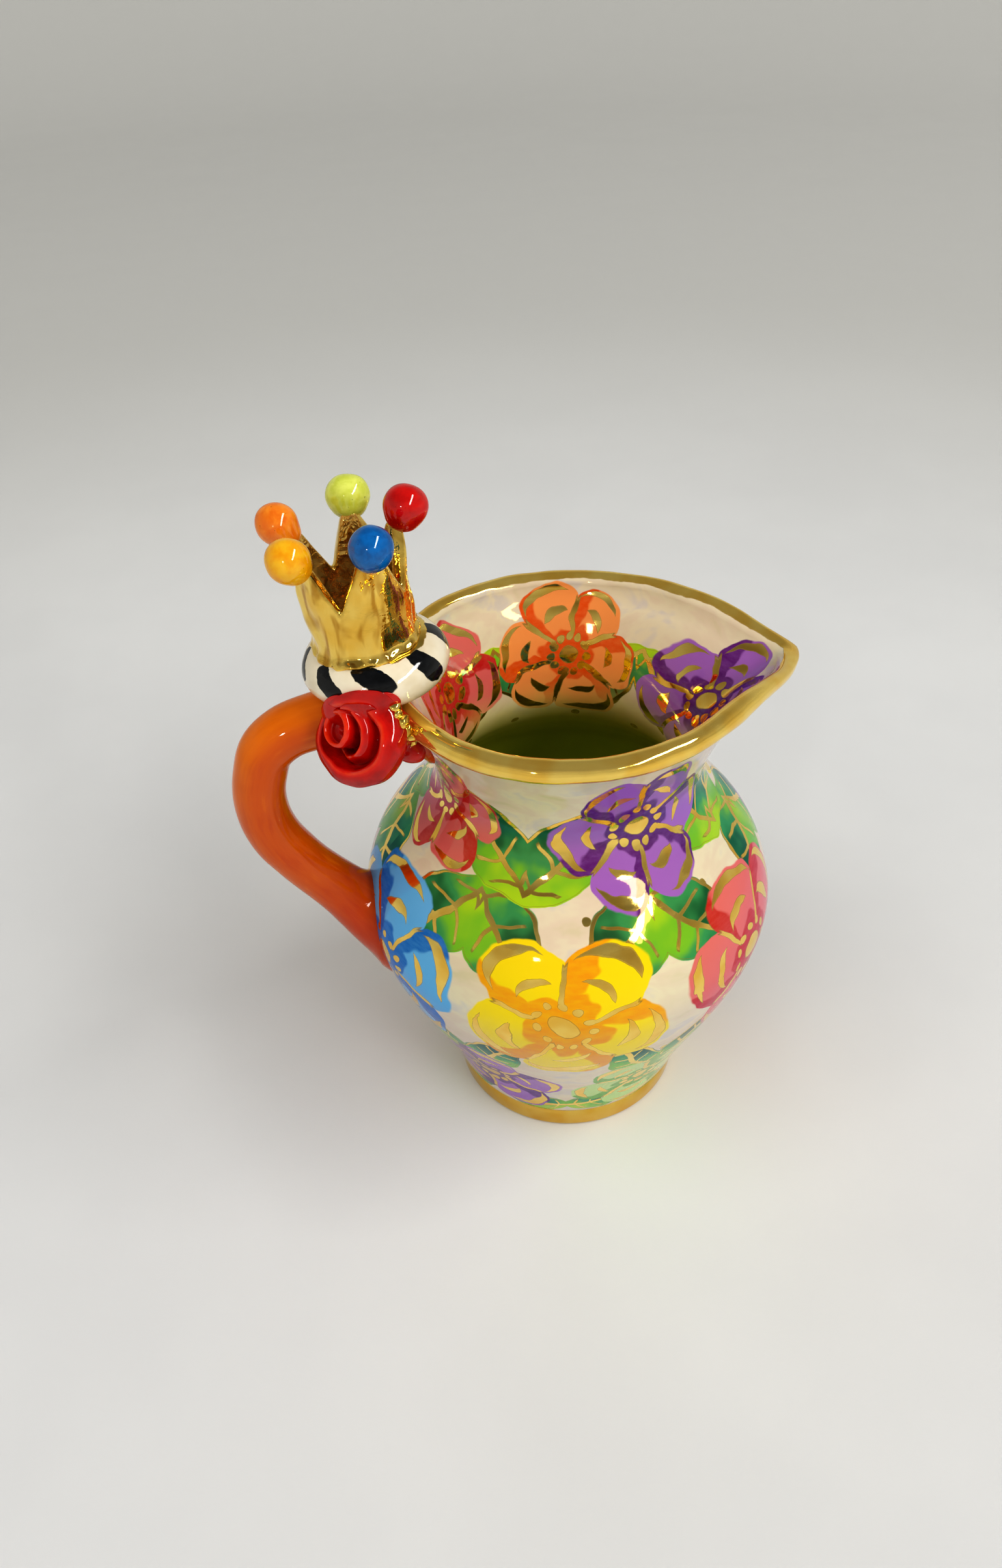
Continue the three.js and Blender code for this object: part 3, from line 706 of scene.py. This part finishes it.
mod = raw.modifiers.new("soften", "SMOOTH")
mod.factor, mod.iterations = 0.6, 14
bpy.context.view_layer.update()
done = bpy.data.meshes.new_from_object(raw.evaluated_get(bpy.context.evaluated_depsgraph_get()))
bpy.data.objects.remove(raw)
co = np.array([v.co for v in done.vertices])
co += wobble(co, 3.2, 0.16, 25)[:, None] * np.array([v.normal for v in done.vertices])
# nothing of it stands inside the mouth
r_now = np.hypot(co[:, 0], co[:, 1])
mid = np.where(co[:, 2] > 105.2, RIM_RADIUS + 0.2, (OUTER_R(co[:, 2]) + INNER_R(co[:, 2])) / 2)
grow = np.where(r_now < mid, mid / np.maximum(r_now, 1e-6), 1.0)
co[:, :2] *= grow[:, None]
bed_faces = [list(p.vertices) for p in done.polygons]
bed = make("rose_bed_slip", press_out(co, bed_faces, 0.45), bed_faces, {"lip": np.full(len(co), 0.35)})

# drops of gold lustre where the rim runs into the rose
# (place in the camera's frame, size); each lies on whatever is seen there
BEADS = [(606, 1087, 1.2), (612, 1097, 0.8), (619, 1108, 1.45), (625, 1121, 1.15), (628, 1131, 1.4), (634, 1141, 0.8)]
near_by = []
for ob in (jug, outer_petal, bed, cushion):
    near_by.append(BVHTree.FromPolygons([v.co for v in ob.data.vertices], [list(f.vertices) for f in ob.data.polygons]))


def seen_at(px, py):
    """The first surface met through a place in the 1539 x 2408 frame, in mm."""
    eye = cam.matrix_world.translation
    way = (forward + right * ((px - 769.5) / 1800) - up * ((py - 1204) / 1800)).normalized()
    hits = [h for h in (t.ray_cast(eye, way) for t in near_by) if h[0] is not None]
    return np.array(min(hits, key=lambda h: h[3])[0]) / MM


BEADS = [tuple(seen_at(px, py)) + (r,) for px, py, r in BEADS]
bm = bmesh.new()
for i, (x, y, z, r) in enumerate(BEADS):
    m = Matrix.Translation((x, y, z)) @ Matrix.Rotation(0.7 * i, 4, "Z") @ Matrix.Diagonal((r * (1.0 + 0.3 * (i % 3 == 1)), r * 0.8, r * (0.85 + 0.35 * (i % 2)), 1))
    bmesh.ops.create_icosphere(bm, subdivisions=4, radius=1, matrix=m)
bp = np.array([v.co for v in bm.verts])
bfaces = [[v.index for v in f.verts] for f in bm.faces]
bm.free()
bp += wobble(bp, 1.1, 0.28, 31)[:, None] * np.array([0.7, 0.5, 1.0])
beads = make("rim_gold_beads", bp, bfaces)


# =====================================================================  materials

GLAZE_IOR = 1.62


def glaze_wave(g, size=0.11, fine=0.6):
    """Height of a fired glaze: slow waves and a little orange peel."""
    return g.noise(g.place, size, 2.0, 0.5) * 0.8 + g.noise(g.place, fine, 2.0, 0.5) * 0.2


# ---- jug: pearl ground, painted garland, gilt rim and foot, green inside

PALETTE = {
    "purple": ((170, 112, 190), (104, 30, 122)), "orange": ((244, 158, 92), (226, 88, 22)), "coral": ((226, 116, 112), (200, 40, 38)),
    "yellow": ((248, 218, 24), (240, 160, 22)), "lime": ((196, 222, 138), (112, 172, 44)), "sky": ((118, 182, 230), (38, 108, 190)),
    "peach": ((250, 176, 142), (240, 112, 84)),
}

g = Graph("pearl_glaze_painted")
run = g.mark("run")
radius = g.math("POWER", g.x * g.x + g.y * g.y, 0.5)
theta = g.math("ARCTAN2", g.y, g.x)
sway = g.parts(g.noise(g.place, 0.085, 2.0, 0.5, colour=True))
jit = g.parts(g.noise(g.place, 0.55, 1.0, 0.5, colour=True))
sway_x = (sway[0] - 0.5) * 6.5 + (jit[0] - 0.5) * 0.35
sway_y = (sway[1] - 0.5) * 6.5 + (jit[1] - 0.5) * 0.35
wash = g.noise(g.vec(theta * 6.0, run * 0.16, radius * 0.05), 1.2, 1.0, 0.4)
streak = g.noise(g.vec(theta * 14.0, run * 0.9, 0.0), 0.8, 3.0, 0.6)

# mother-of-pearl ground: pale tints drawn out round the jug
tint = g.noise(g.vec(theta * 2.2, run * 0.11, 3.0), 1.3, 3.0, 0.55, distort=0.4)
lustre = gold_colour(g)
wave = glaze_wave(g)
# keeps the painted part of the tree after its noises, so that few values are held at a time
late = (jit[0] + sway[0] + wash + streak + tint) * 1e-9
run, theta, radius = run + late, theta + late, radius + late
colour = g.ramp(tint, [(0.28, lin((221, 205, 172))), (0.42, lin((229, 210, 184))), (0.52, lin((232, 217, 188))), (0.63, lin((219, 207, 194))), (0.76, lin((225, 213, 174)))])
gold = None


def cells(n, phase, s0):
    """Local place (x, y in mm) and number of the painted cell round the jug."""
    f = g.math("MULTIPLY_ADD", theta, n / TAU, phase)
    k = g.math("FLOOR", f)
    number = g.math("FLOORED_MODULO", k, float(n))
    x = (f - k - 0.5) * (TAU / n) * radius
    return x, run - s0, number


def layer(cover, paint, stroke):
    """Lays paint and gold over what is there."""
    global colour, gold
    colour = g.mix(cover, colour, paint)
    gold = stroke if gold is None else g.math("MAXIMUM", g.math("MULTIPLY", gold, 1.0 - cover), stroke)


def blossom(n, phase, s0, size, petals, names, seed, drift=2.5, keep=None):
    """A row of open flowers with broad petals, a shaded side, gilt strokes and a beaded eye."""
    x, y, number = cells(n, phase, s0)
    r1 = g.random(number + seed)
    r2 = g.random(number + seed + 31.7)
    x = x + sway_x + (r1 - 0.5) * drift
    y = y + sway_y + (r2 - 0.5) * drift * 1.6
    big = size * 0.92 + r2 * (0.12 * size)
    rho = g.math("POWER", x * x + y * y, 0.5)
    alpha = g.math("ARCTAN2", y, x) + r1 * TAU
    pm = alpha * (petals / TAU)
    cell = g.math("FLOOR", pm)
    m = pm - cell - 0.5
    q = g.math("ABSOLUTE", m) * 2.0
    edge = big * (1.0 - 0.25 * g.math("POWER", q, 2.6))
    e = rho / edge
    cover = g.smooth(e, 1.012, 0.985)
    # two tones, laid with a loaded brush
    t = g.math("MAXIMUM", g.smooth(e, 0.60, 0.16), g.smooth(m, 0.02, 0.46) * 0.9)
    t = t + (wash - 0.5) * 0.9 + g.smooth(e, 0.80, 1.0) * 0.22
    tone = g.smooth(t, 0.40, 0.54)
    light = g.ramp((number + 0.5) / float(n), [(i / n, lin(PALETTE[c][0])) for i, c in enumerate(names)], True)
    dark = g.ramp((number + 0.5) / float(n), [(i / n, lin(PALETTE[c][1])) for i, c in enumerate(names)], True)
    paint = g.mix(tone, light, dark)
    paint = g.mix(g.line(streak, 0.35, 0.75, 0.0, 0.30), paint, light)
    # gilt: a crescent on each petal's shoulder, a shorter one inside, a line between petals, beads round the eye
    rp = g.random(cell + number * 7.0 + seed)
    bow = (m + 0.10 - rp * 0.22) * 2.9
    crescent = g.smooth(g.math("ABSOLUTE", e - 0.90) - 0.062 * (1.0 - bow * bow), 0.008, -0.008)
    bow2 = (m - 0.12 + rp * 0.2) * 3.4
    inner = g.smooth(g.math("ABSOLUTE", e - 0.585) - 0.05 * (1.0 - bow2 * bow2), 0.008, -0.008)
    seam = (0.5 - g.math("ABSOLUTE", m)) * rho * (TAU / petals)
    vein = g.smooth(seam, 0.62, 0.40) * g.smooth(e, 0.30, 0.36) * g.smooth(e, 0.98, 0.86)
    bm_ = g.math("FRACT", alpha * (11 / TAU)) - 0.5
    ring_x = bm_ * rho * (TAU / 11)
    ring_y = rho - big * 0.255
    beads_ = g.smooth(g.math("POWER", ring_x * ring_x + ring_y * ring_y, 0.5), 0.98, 0.78)
    eye = g.smooth(rho / big, 0.135, 0.115)
    stroke = g.math("MAXIMUM", g.math("MAXIMUM", crescent, inner), g.math("MAXIMUM", g.math("MAXIMUM", beads_, eye), vein))
    cover = g.math("MAXIMUM", cover, crescent)
    if keep is not None:
        cover, stroke = cover * keep, stroke * keep
    layer(cover, paint, stroke)


def leaves(n, phase, s0, at, lean, length, width, seed, keep=None, tip=1.0):
    """Pairs of pointed leaves, mirrored left and right, with a gilt rib and side veins."""
    x, y, number = cells(n, phase, s0)
    r1 = g.random(number + seed)
    x = g.math("ABSOLUTE", x + sway_x * 0.8 + (r1 - 0.5) * 2.0) - at[0]
    y = y + sway_y * 0.8 - at[1]
    turn = lean + 0.0
    lx = x * math.cos(turn) + y * math.sin(turn)
    ly = y * math.cos(turn) - x * math.sin(turn)
    uu = lx / length
    ly = ly + g.math("COSINE", uu * 3.0) * 1.3 - 0.7
    body = 1.0 - 4.0 * uu * uu
    half = width * g.math("MAXIMUM", body, -0.05) * (1.0 - 0.45 * uu * tip)
    aly = g.math("ABSOLUTE", ly)
    cover = g.smooth(aly - half, 0.10, -0.14)
    t = g.line(uu + (wash - 0.5) * 0.5, -0.4, 0.45) + g.smooth(ly, -0.2, 0.5) * 0.35
    paint = g.ramp(t, [(0.05, lin((178, 210, 44))), (0.42, lin((132, 190, 52))), (0.62, lin((70, 152, 92))), (0.9, lin((34, 96, 58)))])
    rib = g.smooth(aly - 0.34 - body * 0.24, 0.08, -0.08)
    vv = g.math("FRACT", uu * 5.0 - aly * (0.75 / width) + 0.2)
    side_v = g.smooth(g.math("ABSOLUTE", vv - 0.5), 0.085, 0.05) * g.smooth(aly / (half + 0.05), 0.80, 0.62)
    rim_v = g.smooth(g.math("ABSOLUTE", aly - half + 0.42) - 0.5 * g.smooth(uu, -0.42, 0.30) * g.smooth(ly, -0.6, 0.6), 0.08, -0.08)
    stroke = g.math("MAXIMUM", g.math("MAXIMUM", rib, side_v), rim_v) * cover
    if keep is not None:
        cover, stroke = cover * keep, stroke * keep
    layer(cover, paint, stroke)


def dots(n, phase, s0, size, seed, rise=0.0, keep=None):
    """Single gilt dots."""
    x, y, number = cells(n, phase, s0)
    r1 = g.random(number + seed)
    y = y - (r1 - 0.5) * rise
    d = g.math("POWER", x * x + y * y, 0.5) + (jit[2] - 0.5) * 0.7
    spot = g.smooth(d, size + 0.12, size - 0.1)
    if keep is not None:
        spot = spot * keep
    layer(spot, lin((120, 78, 18)), spot)


outside = g.smooth(run, S_RIM + 2.0, S_RIM + 1.0)
inside = g.smooth(run, S_TOP - 0.5, S_TOP + 0.5)
dots(17, 0.1, 77.5, 0.85, 3.0, 6.0)
dots(15, 0.6, 41.0, 0.8, 5.0, 6.0)
leaves(6, 0.2333, 13.0, (7.4, 0.0), 0.35, 18.0, 4.8, 10.0)
leaves(6, -0.2667, 42.0, (6.2, 0.0), 0.9, 21.0, 5.4, 12.0)
leaves(6, -0.2667, 75.5, (7.4, 0.0), -0.80, 28.0, 7.6, 11.0)
leaves(4, 0.822, 93.5, (6.4, 0.0), 0.95, 27.0, 7.4, 13.0, outside)
blossom(6, -0.2667, 24.5, 15.4, 5, ["sky", "yellow", "coral", "purple", "lime", "orange"], 41.0, 0.8)
blossom(4, 0.322, 96.5, 16.6, 6, ["yellow", "lime", "coral", "purple"], 52.0, 0.8, outside)
blossom(6, 0.2333, 58.5, 21.2, 5, ["purple", "lime", "orange", "sky", "yellow", "coral"], 63.0, 1.0)
# inside the neck
dots(11, 0.35, S_IN + 29.0, 0.8, 7.0, 4.0, inside)
leaves(5, -0.0556, S_IN + 18.0, (4.8, 0.0), 1.0, 19.0, 4.8, 15.0, inside)
blossom(5, -0.5556, S_IN + 13.5, 15.6, 6, ["orange", "coral", "yellow", "sky", "purple"], 74.0, 0.8, inside)

# dark olive glaze fills the belly, with a yellower edge where it thins
pool = run + (sway[2] - 0.5) * 8.0 + (jit[1] - 0.5) * 1.0
colour = g.mix(g.smooth(pool, S_IN + 17.0, S_IN + 31.0, 0.0, 0.85), colour, lin((224, 214, 122)))
deep = g.ramp(g.line(pool, S_IN + 31.0, S_IN + 70.0), [(0.0, lin((220, 220, 90))), (0.35, lin((206, 210, 74))), (1.0, lin((188, 196, 64)))])
green = g.smooth(pool, S_IN + 27.0, S_IN + 39.0)
colour = g.mix(green, colour, deep)
gold = gold * (1.0 - green)

# gilt rim and foot, both laid with a brush
rim_lo = S_RIM - 0.7 + (sway[0] - 0.5) * 1.6 + (jit[0] - 0.5) * 0.4
rim_hi = S_TOP + 1.8 + (sway[1] - 0.5) * 1.6 + (jit[1] - 0.5) * 0.4
gilt_rim = g.smooth(run - rim_lo, -0.08, 0.10) * g.smooth(run - rim_hi, 0.10, -0.08)
foot_hi = 6.3 + (sway[2] - 0.5) * 0.9 + (jit[2] - 0.5) * 0.3
gilt_foot = g.smooth(run - foot_hi, 0.10, -0.08) * g.smooth(run, 0.2, 0.5)
gold = g.math("MAXIMUM", gold, g.math("MAXIMUM", gilt_rim, gilt_foot), clamp=True)
# the lustre's edge fires to a thin brown line
brown = g.smooth(g.math("ABSOLUTE", gold - 0.35), 0.34, 0.10)
colour = g.mix(brown * 0.75, colour, lin((84, 52, 14)))
# painted shade: the foot's band of gold is painted darker, for the jug's own shade over the foot
colour = g.mix(gold, colour, g.mix(gilt_foot * 0.35, lustre, lin((176, 130, 56))))
# bare clay under the foot
bare = g.smooth(run, -0.6, -1.4)
colour = g.mix(bare, colour, lin((214, 204, 188)))

rough = g.mixf(gold, g.line(wash, 0.3, 0.7, 0.035, 0.065), g.line(streak, 0.3, 0.75, 0.035, 0.10))
rough = g.mixf(bare, rough, 0.8)
g.bump(wave, 0.30, 0.0002)
g.out(Base_Color=colour, Metallic=gold - gilt_rim * 0.2, Roughness=rough)
g.bsdf.inputs["IOR"].default_value = GLAZE_IOR
g.bsdf.inputs["Thin Film Thickness"].default_value = 420.0
g.bsdf.inputs["Thin Film IOR"].default_value = 1.42
mat_jug = g.mat

# ---- handle: orange glaze, drawn out along the strap; painted light and shade: lighter on top of the upper loop, darker on its flanks, at the top join and down the lower half

g = Graph("orange_glaze")
al, ro, ou = g.mark("along"), g.mark("round"), g.mark("out")
streaks = g.noise(g.vec(al * 5.0, ro * 2.4, ou * 2.4), 2.2, 4.0, 0.6, distort=0.3)
cloud = g.noise(g.place, 0.07, 2.0, 0.5)
c1 = g.ramp(streaks * 0.35 + cloud * 0.65, [(0.32, lin((196, 80, 0))), (0.50, lin((212, 100, 0))), (0.68, lin((232, 128, 4)))])
# painted highlight: the top of the upper loop, where the light falls, is painted a lighter orange
c1 = g.mix(g.smooth(ou, 0.1, 0.95) * g.smooth(al, 0.62, 0.28) * 0.5, c1, lin((242, 140, 6)))
# painted shade: darker red at the top join under the cushion and rose, and down the lower half of the loop
ends = g.math("MAXIMUM", g.smooth(al, 0.16, 0.02) * 0.5, g.smooth(al, 0.62, 0.98) * 0.7)
c1 = g.mix(ends, c1, lin((180, 50, 2)))
# painted shade: darker red down the middle of both flanks, which get less of the light from above
c1 = g.mix(g.smooth(g.math("ABSOLUTE", ro), 0.80, 1.0) * 0.22, c1, lin((188, 58, 2)))
g.bump(glaze_wave(g, 0.10, 0.5), 0.35, 0.00025)
g.bsdf.inputs["IOR"].default_value = GLAZE_IOR
g.bsdf.inputs["Specular IOR Level"].default_value = 0.36
mat_handle = g.out(Base_Color=c1, Roughness=g.line(streaks, 0.3, 0.7, 0.045, 0.085))

# ---- cushion: cream glaze with black dashes, and gold that has run over its shoulder

g = Graph("white_glaze_dashed")
cx, cy, cz, la = g.mark("cx"), g.mark("cy"), g.mark("cz"), g.mark("lat")
ct = g.math("ARCTAN2", cy, cx)
wob = g.parts(g.noise(g.place, 0.25, 2.0, 0.5, colour=True))
fine = g.parts(g.noise(g.place, 1.1, 2.0, 0.5, colour=True))
ground = g.ramp(g.noise(g.place, 0.13, 3.0, 0.6), [(0.3, lin((229, 216, 188))), (0.55, lin((239, 229, 206))), (0.75, lin((231, 215, 182)))])
dash = None
# turn and height of each dash's middle in degrees, its half length and half width in mm, its slant
DASHES = [(-135, 23, 4.4, 1.7, -0.80), (-98, 46, 4.3, 1.9, -0.60), (-48, 42, 4.4, 2.0, -1.12), (-2, 50, 4.2, 1.9, -1.7), (48, 38, 4.4, 1.9, -1.0), (96, 36, 4.4, 1.9, -1.0), (142, 34, 4.4, 1.8, -0.9), (-178, 30, 3.6, 1.1, -0.5)]
for t0, l0, hl, hw, slant in DASHES:
    d = g.math("WRAP", ct - math.radians(t0), math.pi, -math.pi)
    px = d * (7.9 + 5.4 * math.cos(math.radians(l0))) + (wob[0] - 0.5) * 2.0 + (fine[0] - 0.5) * 0.5
    py = (la - l0) * (math.radians(1) * 4.9) + (wob[1] - 0.5) * 2.0 + (fine[1] - 0.5) * 0.5
    qx = g.math("ABSOLUTE", px * math.cos(slant) + py * math.sin(slant)) / hl
    qy = g.math("ABSOLUTE", py * math.cos(slant) - px * math.sin(slant)) / hw
    v = g.math("POWER", qx, 2.8) + g.math("POWER", qy, 2.8)
    one = g.smooth(v, 1.10, 0.92)
    dash = one if dash is None else g.math("MAXIMUM", dash, one)
black = g.ramp(fine[2], [(0.3, lin((7, 8, 10))), (0.7, lin((20, 21, 24)))])
c2 = g.mix(dash, ground, black)
cr_ = g.math("POWER", cx * cx + cy * cy, 0.5)
spill = 9.9 + (wob[2] - 0.5) * 1.5 + (fine[2] - 0.5) * 0.5
over = g.smooth(cr_ - spill, 0.10, -0.10) * g.smooth(cz, 0.5, 1.0)
c2 = g.mix(g.smooth(g.math("ABSOLUTE", over - 0.35), 0.34, 0.1) * 0.7, c2, lin((92, 60, 16)))
c2 = g.mix(over, c2, gold_colour(g))
g.bump(glaze_wave(g, 0.14, 0.7), 0.45, 0.0003)
g.bsdf.inputs["IOR"].default_value = GLAZE_IOR
mat_cushion = g.out(Base_Color=c2, Metallic=over, Roughness=g.mixf(over, g.mixf(dash, 0.06, 0.075), 0.08))

# ---- crown and beads: bright gold, rippled

g = Graph("gold_lustre")
dents = g.noise(g.place, 0.32, 3.0, 0.55, distort=0.5)
brush = g.noise(g.vec(g.x * 1.0, g.y * 1.0, g.z * 0.25), 1.1, 3.0, 0.6)
c3 = g.mix(g.line(brush, 0.35, 0.75, 0.0, 0.35), gold_colour(g), GOLD_LO)
thin = g.smooth(g.noise(g.vec(g.x * 1.0, g.y * 1.0, g.z * 0.3), 0.30, 2.0, 0.5, distort=0.8), 0.46, 0.66)
c3 = g.mix(thin * 0.7, c3, lin((176, 122, 34)))
# inside, the lustre lies crumpled on the clay, and its colour there is painted duller and darker: painted shade in the
# crown's hollow
inside = g.smooth(g.mark("inner"), 0.45, 1.0)
c3 = g.mix(inside * g.line(dents, 0.3, 0.7, 0.9, 0.6), c3, lin((208, 172, 100)))
crumple = g.noise(g.place, 0.36, 2.0, 0.5, distort=1.2)
g.bump(dents * 0.9 + brush * 0.1 + inside * crumple * 3.2, 0.30, 0.0006)
mat_gold = g.out(Base_Color=c3, Metallic=g.mixf(inside, 1.0, g.line(crumple, 0.35, 0.6, 0.55, 0.92)), Roughness=g.line(brush, 0.35, 0.8, 0.02, 0.055))

# ---- rose: red glaze with a random wash; painted highlight on the petal lips and crests, painted shade down in the folds between them

g = Graph("rose_glaze")
lip = g.mark("lip")
wash_r = g.noise(g.place, 0.34, 4.0, 0.6, distort=0.4)
# painted light and shade: the lip mark turns the lips orange-red and leaves the folds dark red
c4 = g.ramp(wash_r * 0.45 + lip * 0.55, [(0.12, lin((158, 8, 2))), (0.32, lin((192, 16, 4))), (0.60, lin((214, 30, 6))), (0.9, lin((234, 72, 26)))])
g.bump(glaze_wave(g, 0.22, 0.9), 0.25, 0.0003)
g.bsdf.inputs["IOR"].default_value = GLAZE_IOR
mat_rose = g.out(Base_Color=c4, Roughness=g.line(wash_r, 0.3, 0.7, 0.03, 0.055))

# ---- balls

BALL_TONES = {
    "ball_red": ((184, 10, 8), (212, 22, 14)), "ball_lime": ((208, 216, 84), (230, 236, 120)), "ball_orange": ((234, 122, 20), (248, 156, 50)),
    "ball_yellow": ((240, 164, 10), (248, 192, 38)), "ball_blue": ((0, 88, 150), (4, 116, 186)),
}
ball_mats = []
for name in BALL_NAMES:
    g = Graph(name + "_glaze")
    lo, hi = BALL_TONES[name]
    patch = g.noise(g.place, 0.42, 3.0, 0.55, distort=0.3)
    speck = g.smooth(g.noise(g.place, 1.9, 1.0, 0.5), 0.735, 0.775)
    cb = g.ramp(patch, [(0.3, lin(lo)), (0.68, lin(hi))])
    cb = g.mix(speck * 0.5, cb, lin(tuple(int(v * 0.55) for v in lo)))
    g.bump(glaze_wave(g, 0.25, 1.1), 0.10, 0.0002)
    g.bsdf.inputs["IOR"].default_value = GLAZE_IOR
    ball_mats.append(g.out(Base_Color=cb, Roughness=g.line(patch, 0.3, 0.7, 0.018, 0.035)))

# =====================================================================  floor and light

g = Graph("studio_floor")
fl = g.noise(g.place, 0.012, 3.0, 0.55)
c5 = g.ramp(fl, [(0.3, (0.755, 0.757, 0.755, 1)), (0.7, (0.785, 0.787, 0.783, 1))])
reach = g.math("POWER", g.x * g.x + g.y * g.y, 0.5)
# painted shade: the floor is painted darker away from the jug, for the light falling off far from the lamps
c5 = g.mix(g.smooth(reach, 150.0, 620.0), c5, (0.60, 0.597, 0.574, 1))
g.bump(g.noise(g.place, 1.4, 3.0, 0.6), 0.06, 0.0003)
mat_floor = g.out(Base_Color=c5, Roughness=g.line(fl, 0.3, 0.7, 0.50, 0.60))

FR = np.r_[0.02, 0.15, 0.5, 1.0]
bend = np.linspace(0, math.pi / 2 * 0.92, 14)
floor_run = np.vstack([np.c_[FR, np.zeros(4)], np.c_[1.25 + 0.9 * np.sin(bend), 0.9 - 0.9 * np.cos(bend)], [[2.17, 1.05]]])
fp, _ = lathe(floor_run * 1000, 96)
ff = ring_faces(96, len(floor_run))
ff.append([v * len(floor_run) for v in range(96)])
floor = make("studio_sweep", fp, ff, outward=False)
bm = bmesh.new()
bm.from_mesh(floor.data)
bmesh.ops.recalc_face_normals(bm, faces=bm.faces)
if sum(f.normal.z for f in bm.faces) < 0:
    bmesh.ops.reverse_faces(bm, faces=bm.faces)
bm.to_mesh(floor.data)
bm.free()
floor.data.materials.append(mat_floor)


def softbox(name, at, aim, size, watts, tint=(1, 1, 1), along=(0, 0, 1)):
    """Lamp of size (across, along) that looks at aim, with its second side turned as near to along as it goes."""
    lamp = bpy.data.lights.new(name, "AREA")
    lamp.shape, lamp.size, lamp.size_y = "RECTANGLE", size[0], size[1]
    lamp.energy, lamp.color = watts, tint
    ob = bpy.data.objects.new(name, lamp)
    z = (Vector(at) - Vector(aim)).normalized()
    y = Vector(along) - z * z.dot(Vector(along))
    y.normalize()
    x = y.cross(z)
    ob.matrix_world = Matrix(((x.x, y.x, z.x, at[0]), (x.y, y.y, z.y, at[1]), (x.z, y.z, z.z, at[2]), (0, 0, 0, 1)))
    scene.collection.objects.link(ob)
    return ob


softbox("tube", (2.1, -1.72, 2.6), (0, 0, 0.08), (0.45, 3.9), 66.0, (1.0, 0.99, 0.97), (0, 1, 0))
fill = softbox("overhead", (-1.25, -0.95, 3.0), (0, 0, 0.05), (3.0, 2.0), 28.0, (1.0, 0.99, 0.97))
fill.visible_glossy = False                         # a scrim: fills the shade and leaves the gloss to the tube
softbox("spark", (-0.93, -1.64, 0.78), (-0.03, 0, 0.1), (0.10, 0.12), 1.4)

world = bpy.data.worlds.new("room")
scene.world = world
world.use_nodes = True
wt = world.node_tree
back = next(n for n in wt.nodes if n.type == "BACKGROUND")
tc = wt.nodes.new("ShaderNodeTexCoord")
sx = wt.nodes.new("ShaderNodeSeparateXYZ")
rp = wt.nodes.new("ShaderNodeValToRGB")
rp.color_ramp.elements[0].position, rp.color_ramp.elements[0].color = 0.40, (0.35, 0.35, 0.335, 1)
rp.color_ramp.elements[1].position, rp.color_ramp.elements[1].color = 0.72, (0.17, 0.17, 0.17, 1)
wt.links.new(tc.outputs["Generated"], sx.inputs[0])
wt.links.new(sx.outputs["Z"], rp.inputs[0])
wt.links.new(rp.outputs[0], back.inputs["Color"])
back.inputs["Strength"].default_value = 1.0

scene.view_settings.view_transform = "Standard"
scene.view_settings.look = "High Contrast"
scene.view_settings.exposure = 0.0


# =====================================================================  hand over

def hand_over(ob, mat, slot, *nodes):
    ob.data.materials.clear()
    ob.data.materials.append(mat)
    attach(ob, "root")
    if nodes:
        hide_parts(*nodes)


hand_over(jug, mat_jug, "pearl_glaze", "jug_body")
hand_over(handle, mat_handle, "orange_glaze", "handle")
hand_over(cushion, mat_cushion, "white_glaze", "crown_cushion")
hand_over(crown, mat_gold, "gold_lustre", "crown")
for ob, mat, name in zip(balls, ball_mats, BALL_NAMES):
    hand_over(ob, mat, name.split("_")[1] + "_ball_glaze", name)
hand_over(bud, mat_rose, "rose_glaze", "rose_bud")
hand_over(inner_petal, mat_rose, "rose_glaze", "rose_inner_petal")
hand_over(outer_petal, mat_rose, "rose_glaze", "rose_outer_petal")
hand_over(bed, mat_rose, "rose_glaze", "rose_bed")
hand_over(beads, mat_gold, "gold_lustre")
